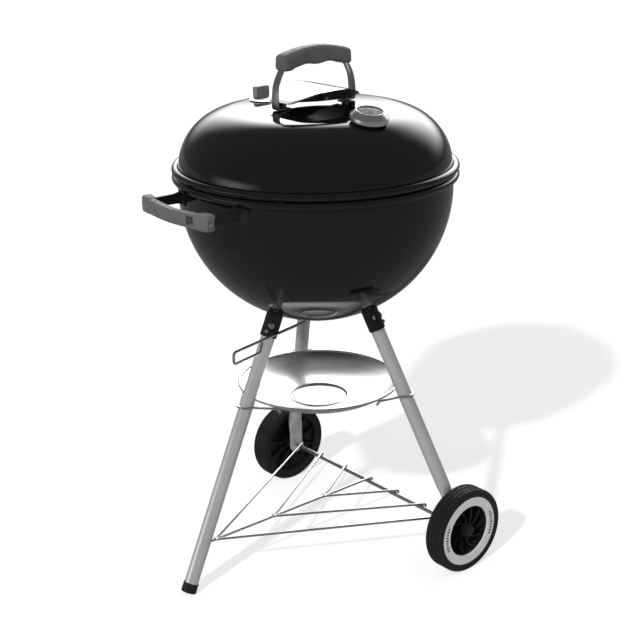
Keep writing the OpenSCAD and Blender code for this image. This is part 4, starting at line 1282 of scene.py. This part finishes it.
def build_card(name, turn, low, high, spread, strength, side_fade=0.4, low_fade=0.0, high_fade=0.5):
    """Curved reflector that only shows in glossy surfaces. Angles in degrees, turn from the view."""
    vertices, faces, fades = [], [], []
    steps, rows, distance = 48, 32, 6
    for j in range(rows + 1):
        t = j / rows
        e = math.radians(low + (high - low) * t)
        for i in range(steps + 1):
            a = math.radians(turn + spread * (i / steps - 0.5)) + CAMERA_TURN
            vertices.append((-distance * math.sin(a) * math.cos(e), distance * math.cos(a) * math.cos(e),
                             distance * math.sin(e) + 0.7))
            fades.append(soft(i / steps, side_fade) * soft(t, low_fade if t < 0.5 else high_fade))
    for j in range(rows):
        for i in range(steps):
            k = j * (steps + 1) + i
            faces.append((k, k + 1, k + steps + 2, k + steps + 1))
    card = bpy.data.objects.new(name, mesh_of(vertices, faces))
    bpy.context.scene.collection.objects.link(card)
    card.data.materials.append(emission_material(name, strength))
    card.data.attributes.new("fade", "FLOAT", "POINT").data.foreach_set("value", fades)
    card.visible_camera = False
    card.visible_diffuse = False
    card.visible_transmission = False
    card.visible_shadow = False


def build_floor():
    mesh = mesh_of([(-40, -40, 0), (40, -40, 0), (40, 40, 0), (-40, 40, 0)], [(0, 1, 2, 3)])
    floor = bpy.data.objects.new("studio_floor", mesh)
    bpy.context.scene.collection.objects.link(floor)
    material = bpy.data.materials.new("studio_floor")
    material.use_nodes = True
    nodes, links = material.node_tree.nodes, material.node_tree.links
    shader = nodes["Principled BSDF"]
    shader.inputs["Roughness"].default_value = 1.0
    shader.inputs["Specular IOR Level"].default_value = 0.0
    shader.inputs["Emission Color"].default_value = (1, 1, 1, 1)
    path = nodes.new("ShaderNodeLightPath")
    glow = nodes.new("ShaderNodeMapRange")
    glow.inputs["To Min"].default_value = 0.0
    glow.inputs["To Max"].default_value = FLOOR_GLOW
    links.new(path.outputs["Is Camera Ray"], glow.inputs["Value"])
    links.new(glow.outputs[0], shader.inputs["Emission Strength"])
    tone = nodes.new("ShaderNodeMix")
    tone.data_type = "RGBA"
    tone.inputs["A"].default_value = (0.8, 0.8, 0.8, 1)
    tone.inputs["B"].default_value = (FLOOR_GLOSSY, FLOOR_GLOSSY, FLOOR_GLOSSY, 1)
    links.new(path.outputs["Is Glossy Ray"], tone.inputs["Factor"])
    links.new(tone.outputs["Result"], shader.inputs["Base Color"])
    mesh.materials.append(material)


def build_world():
    world = bpy.data.worlds.new("studio")
    world.use_nodes = True
    nodes, links = world.node_tree.nodes, world.node_tree.links
    background = nodes["Background"]
    path = nodes.new("ShaderNodeLightPath")
    level = nodes.new("ShaderNodeMapRange")
    level.inputs["To Min"].default_value = WORLD_GREY
    level.inputs["To Max"].default_value = 1.05
    links.new(path.outputs["Is Camera Ray"], level.inputs["Value"])
    dim = nodes.new("ShaderNodeMapRange")
    dim.inputs["To Min"].default_value = 1.0
    dim.inputs["To Max"].default_value = WORLD_GLOSSY / WORLD_GREY
    links.new(path.outputs["Is Glossy Ray"], dim.inputs["Value"])
    both = nodes.new("ShaderNodeMath")
    both.operation = "MULTIPLY"
    links.new(level.outputs[0], both.inputs[0])
    links.new(dim.outputs[0], both.inputs[1])
    links.new(both.outputs[0], background.inputs["Strength"])
    background.inputs["Color"].default_value = (1, 1, 1, 1)
    bpy.context.scene.world = world
    bpy.context.scene.view_settings.view_transform = "Standard"


def build_key():
    """Distant soft key that throws the shadow back and to the right of the view."""
    key = bpy.data.objects.new("key", bpy.data.lights.new("key", "SUN"))
    bpy.context.scene.collection.objects.link(key)
    key.data.energy = KEY_ENERGY
    key.data.angle = math.radians(2.5)
    travel = Vector((math.cos(KEY_TURN) * math.cos(KEY_HEIGHT), math.sin(KEY_TURN) * math.cos(KEY_HEIGHT),
                     -math.sin(KEY_HEIGHT)))
    key.rotation_mode = "QUATERNION"
    key.rotation_quaternion = travel.to_track_quat("-Z", "Y")
    key.visible_glossy = False


def build_studio():
    build_camera()
    build_world()
    build_floor()
    build_key()
    build_card("back_card", -12, 1, 50, 112, 5.0, 0.45, 0.34, 0.5)
    build_card("left_card", 112, -8, 8, 60, 1.6, 0.5, 0.3, 0.5)


# ---------------------------------------------------------------- the object

def dress_node(material, *names):
    """CAD nodes whose shape is kept."""
    for name in names:
        node = frame["nodes"][name]
        node.data.materials.clear()
        node.data.materials.append(material)


def build_kettle():
    gloss, paint, grip = enamel(), black_paint(), moulded("grip_plastic", 0.12, 0.165)
    zinc = plain_steel("zinc_steel", 0.55, 0.72)
    ink = moulded("dial_ink", 0.015, 0.03)
    build_bowl(gloss)
    build_lid(gloss)
    build_strap(brushed("strap_aluminium", (400, 14, 14), 0.5, 0.62))
    build_grip(grip)
    build_shield(polished_sheet_with_painted_shade())
    build_lid_nuts(zinc)
    build_thermometer(spun_sheet("case_steel", THERMO, 0.66, 0.8, (0.24, 0.38)),
                      moulded("dial_paint", 0.4, 0.5), ink, ink, lens_glass())
    build_damper(spun_sheet("damper_aluminium", DAMPER), moulded("tab_plastic", 0.24, 0.32), zinc)
    build_side_grip(moulded("side_plastic", 0.155, 0.2))
    build_arms(paint)
    dress_node(paint, "grate_tabs", "socket_front", "socket_left", "socket_right")
    dress_node(zinc, "thermo_stem", "thermo_nut", "side_grip_screws")


def build_stand():
    zinc = plain_steel("stand_steel", 0.5, 0.7)
    wire = plated_wire()
    rubber = moulded("shoe_plastic", 0.012, 0.02, grain=700)
    build_legs({side: drawn_tube(side) for side in LEG_TURNS})
    build_foot_cap(rubber)
    build_socket_screws(zinc)
    build_rack(wire)
    for side in LEG_TURNS:
        build_pan_clip(side, wire)
    dress_node(zinc, "axle", "axle_washers", "push_nuts")
    for side in LEG_TURNS:
        dress_node(zinc, f"button_{side}", f"button_spring_{side}")
    dress_node(wire, "lid_hook")


def build_wheels():
    tread = moulded("tyre_plastic", 0.012, 0.022, (0.4, 0.55), 600, 0.00012)
    web = moulded("wheel_plastic", 0.008, 0.015, (0.3, 0.42))
    white = moulded("whitewall_plastic", 0.86, 0.93, (0.35, 0.5))
    for side in ("left", "right"):
        build_tyre(side, tread)
        build_wheel(side, web)
        build_whitewall(side, white, web)
        build_hub_cap(side, web)


def build_inside():
    steel = plain_steel("grate_steel", 0.3, 0.48, (0.35, 0.55))
    wire = plain_steel("grate_plating", 0.55, 0.75, (0.2, 0.35), 80)
    build_pan(spun_sheet("pan_aluminium", TO_KETTLE))
    build_lever(wire)
    build_sweep_nut(steel)
    dress_node(steel, "sweep_blades", "sweep_shaft")
    build_charcoal_grate(steel)
    build_cooking_grate(wire)


build_studio()
build_kettle()
build_stand()
build_wheels()
build_inside()
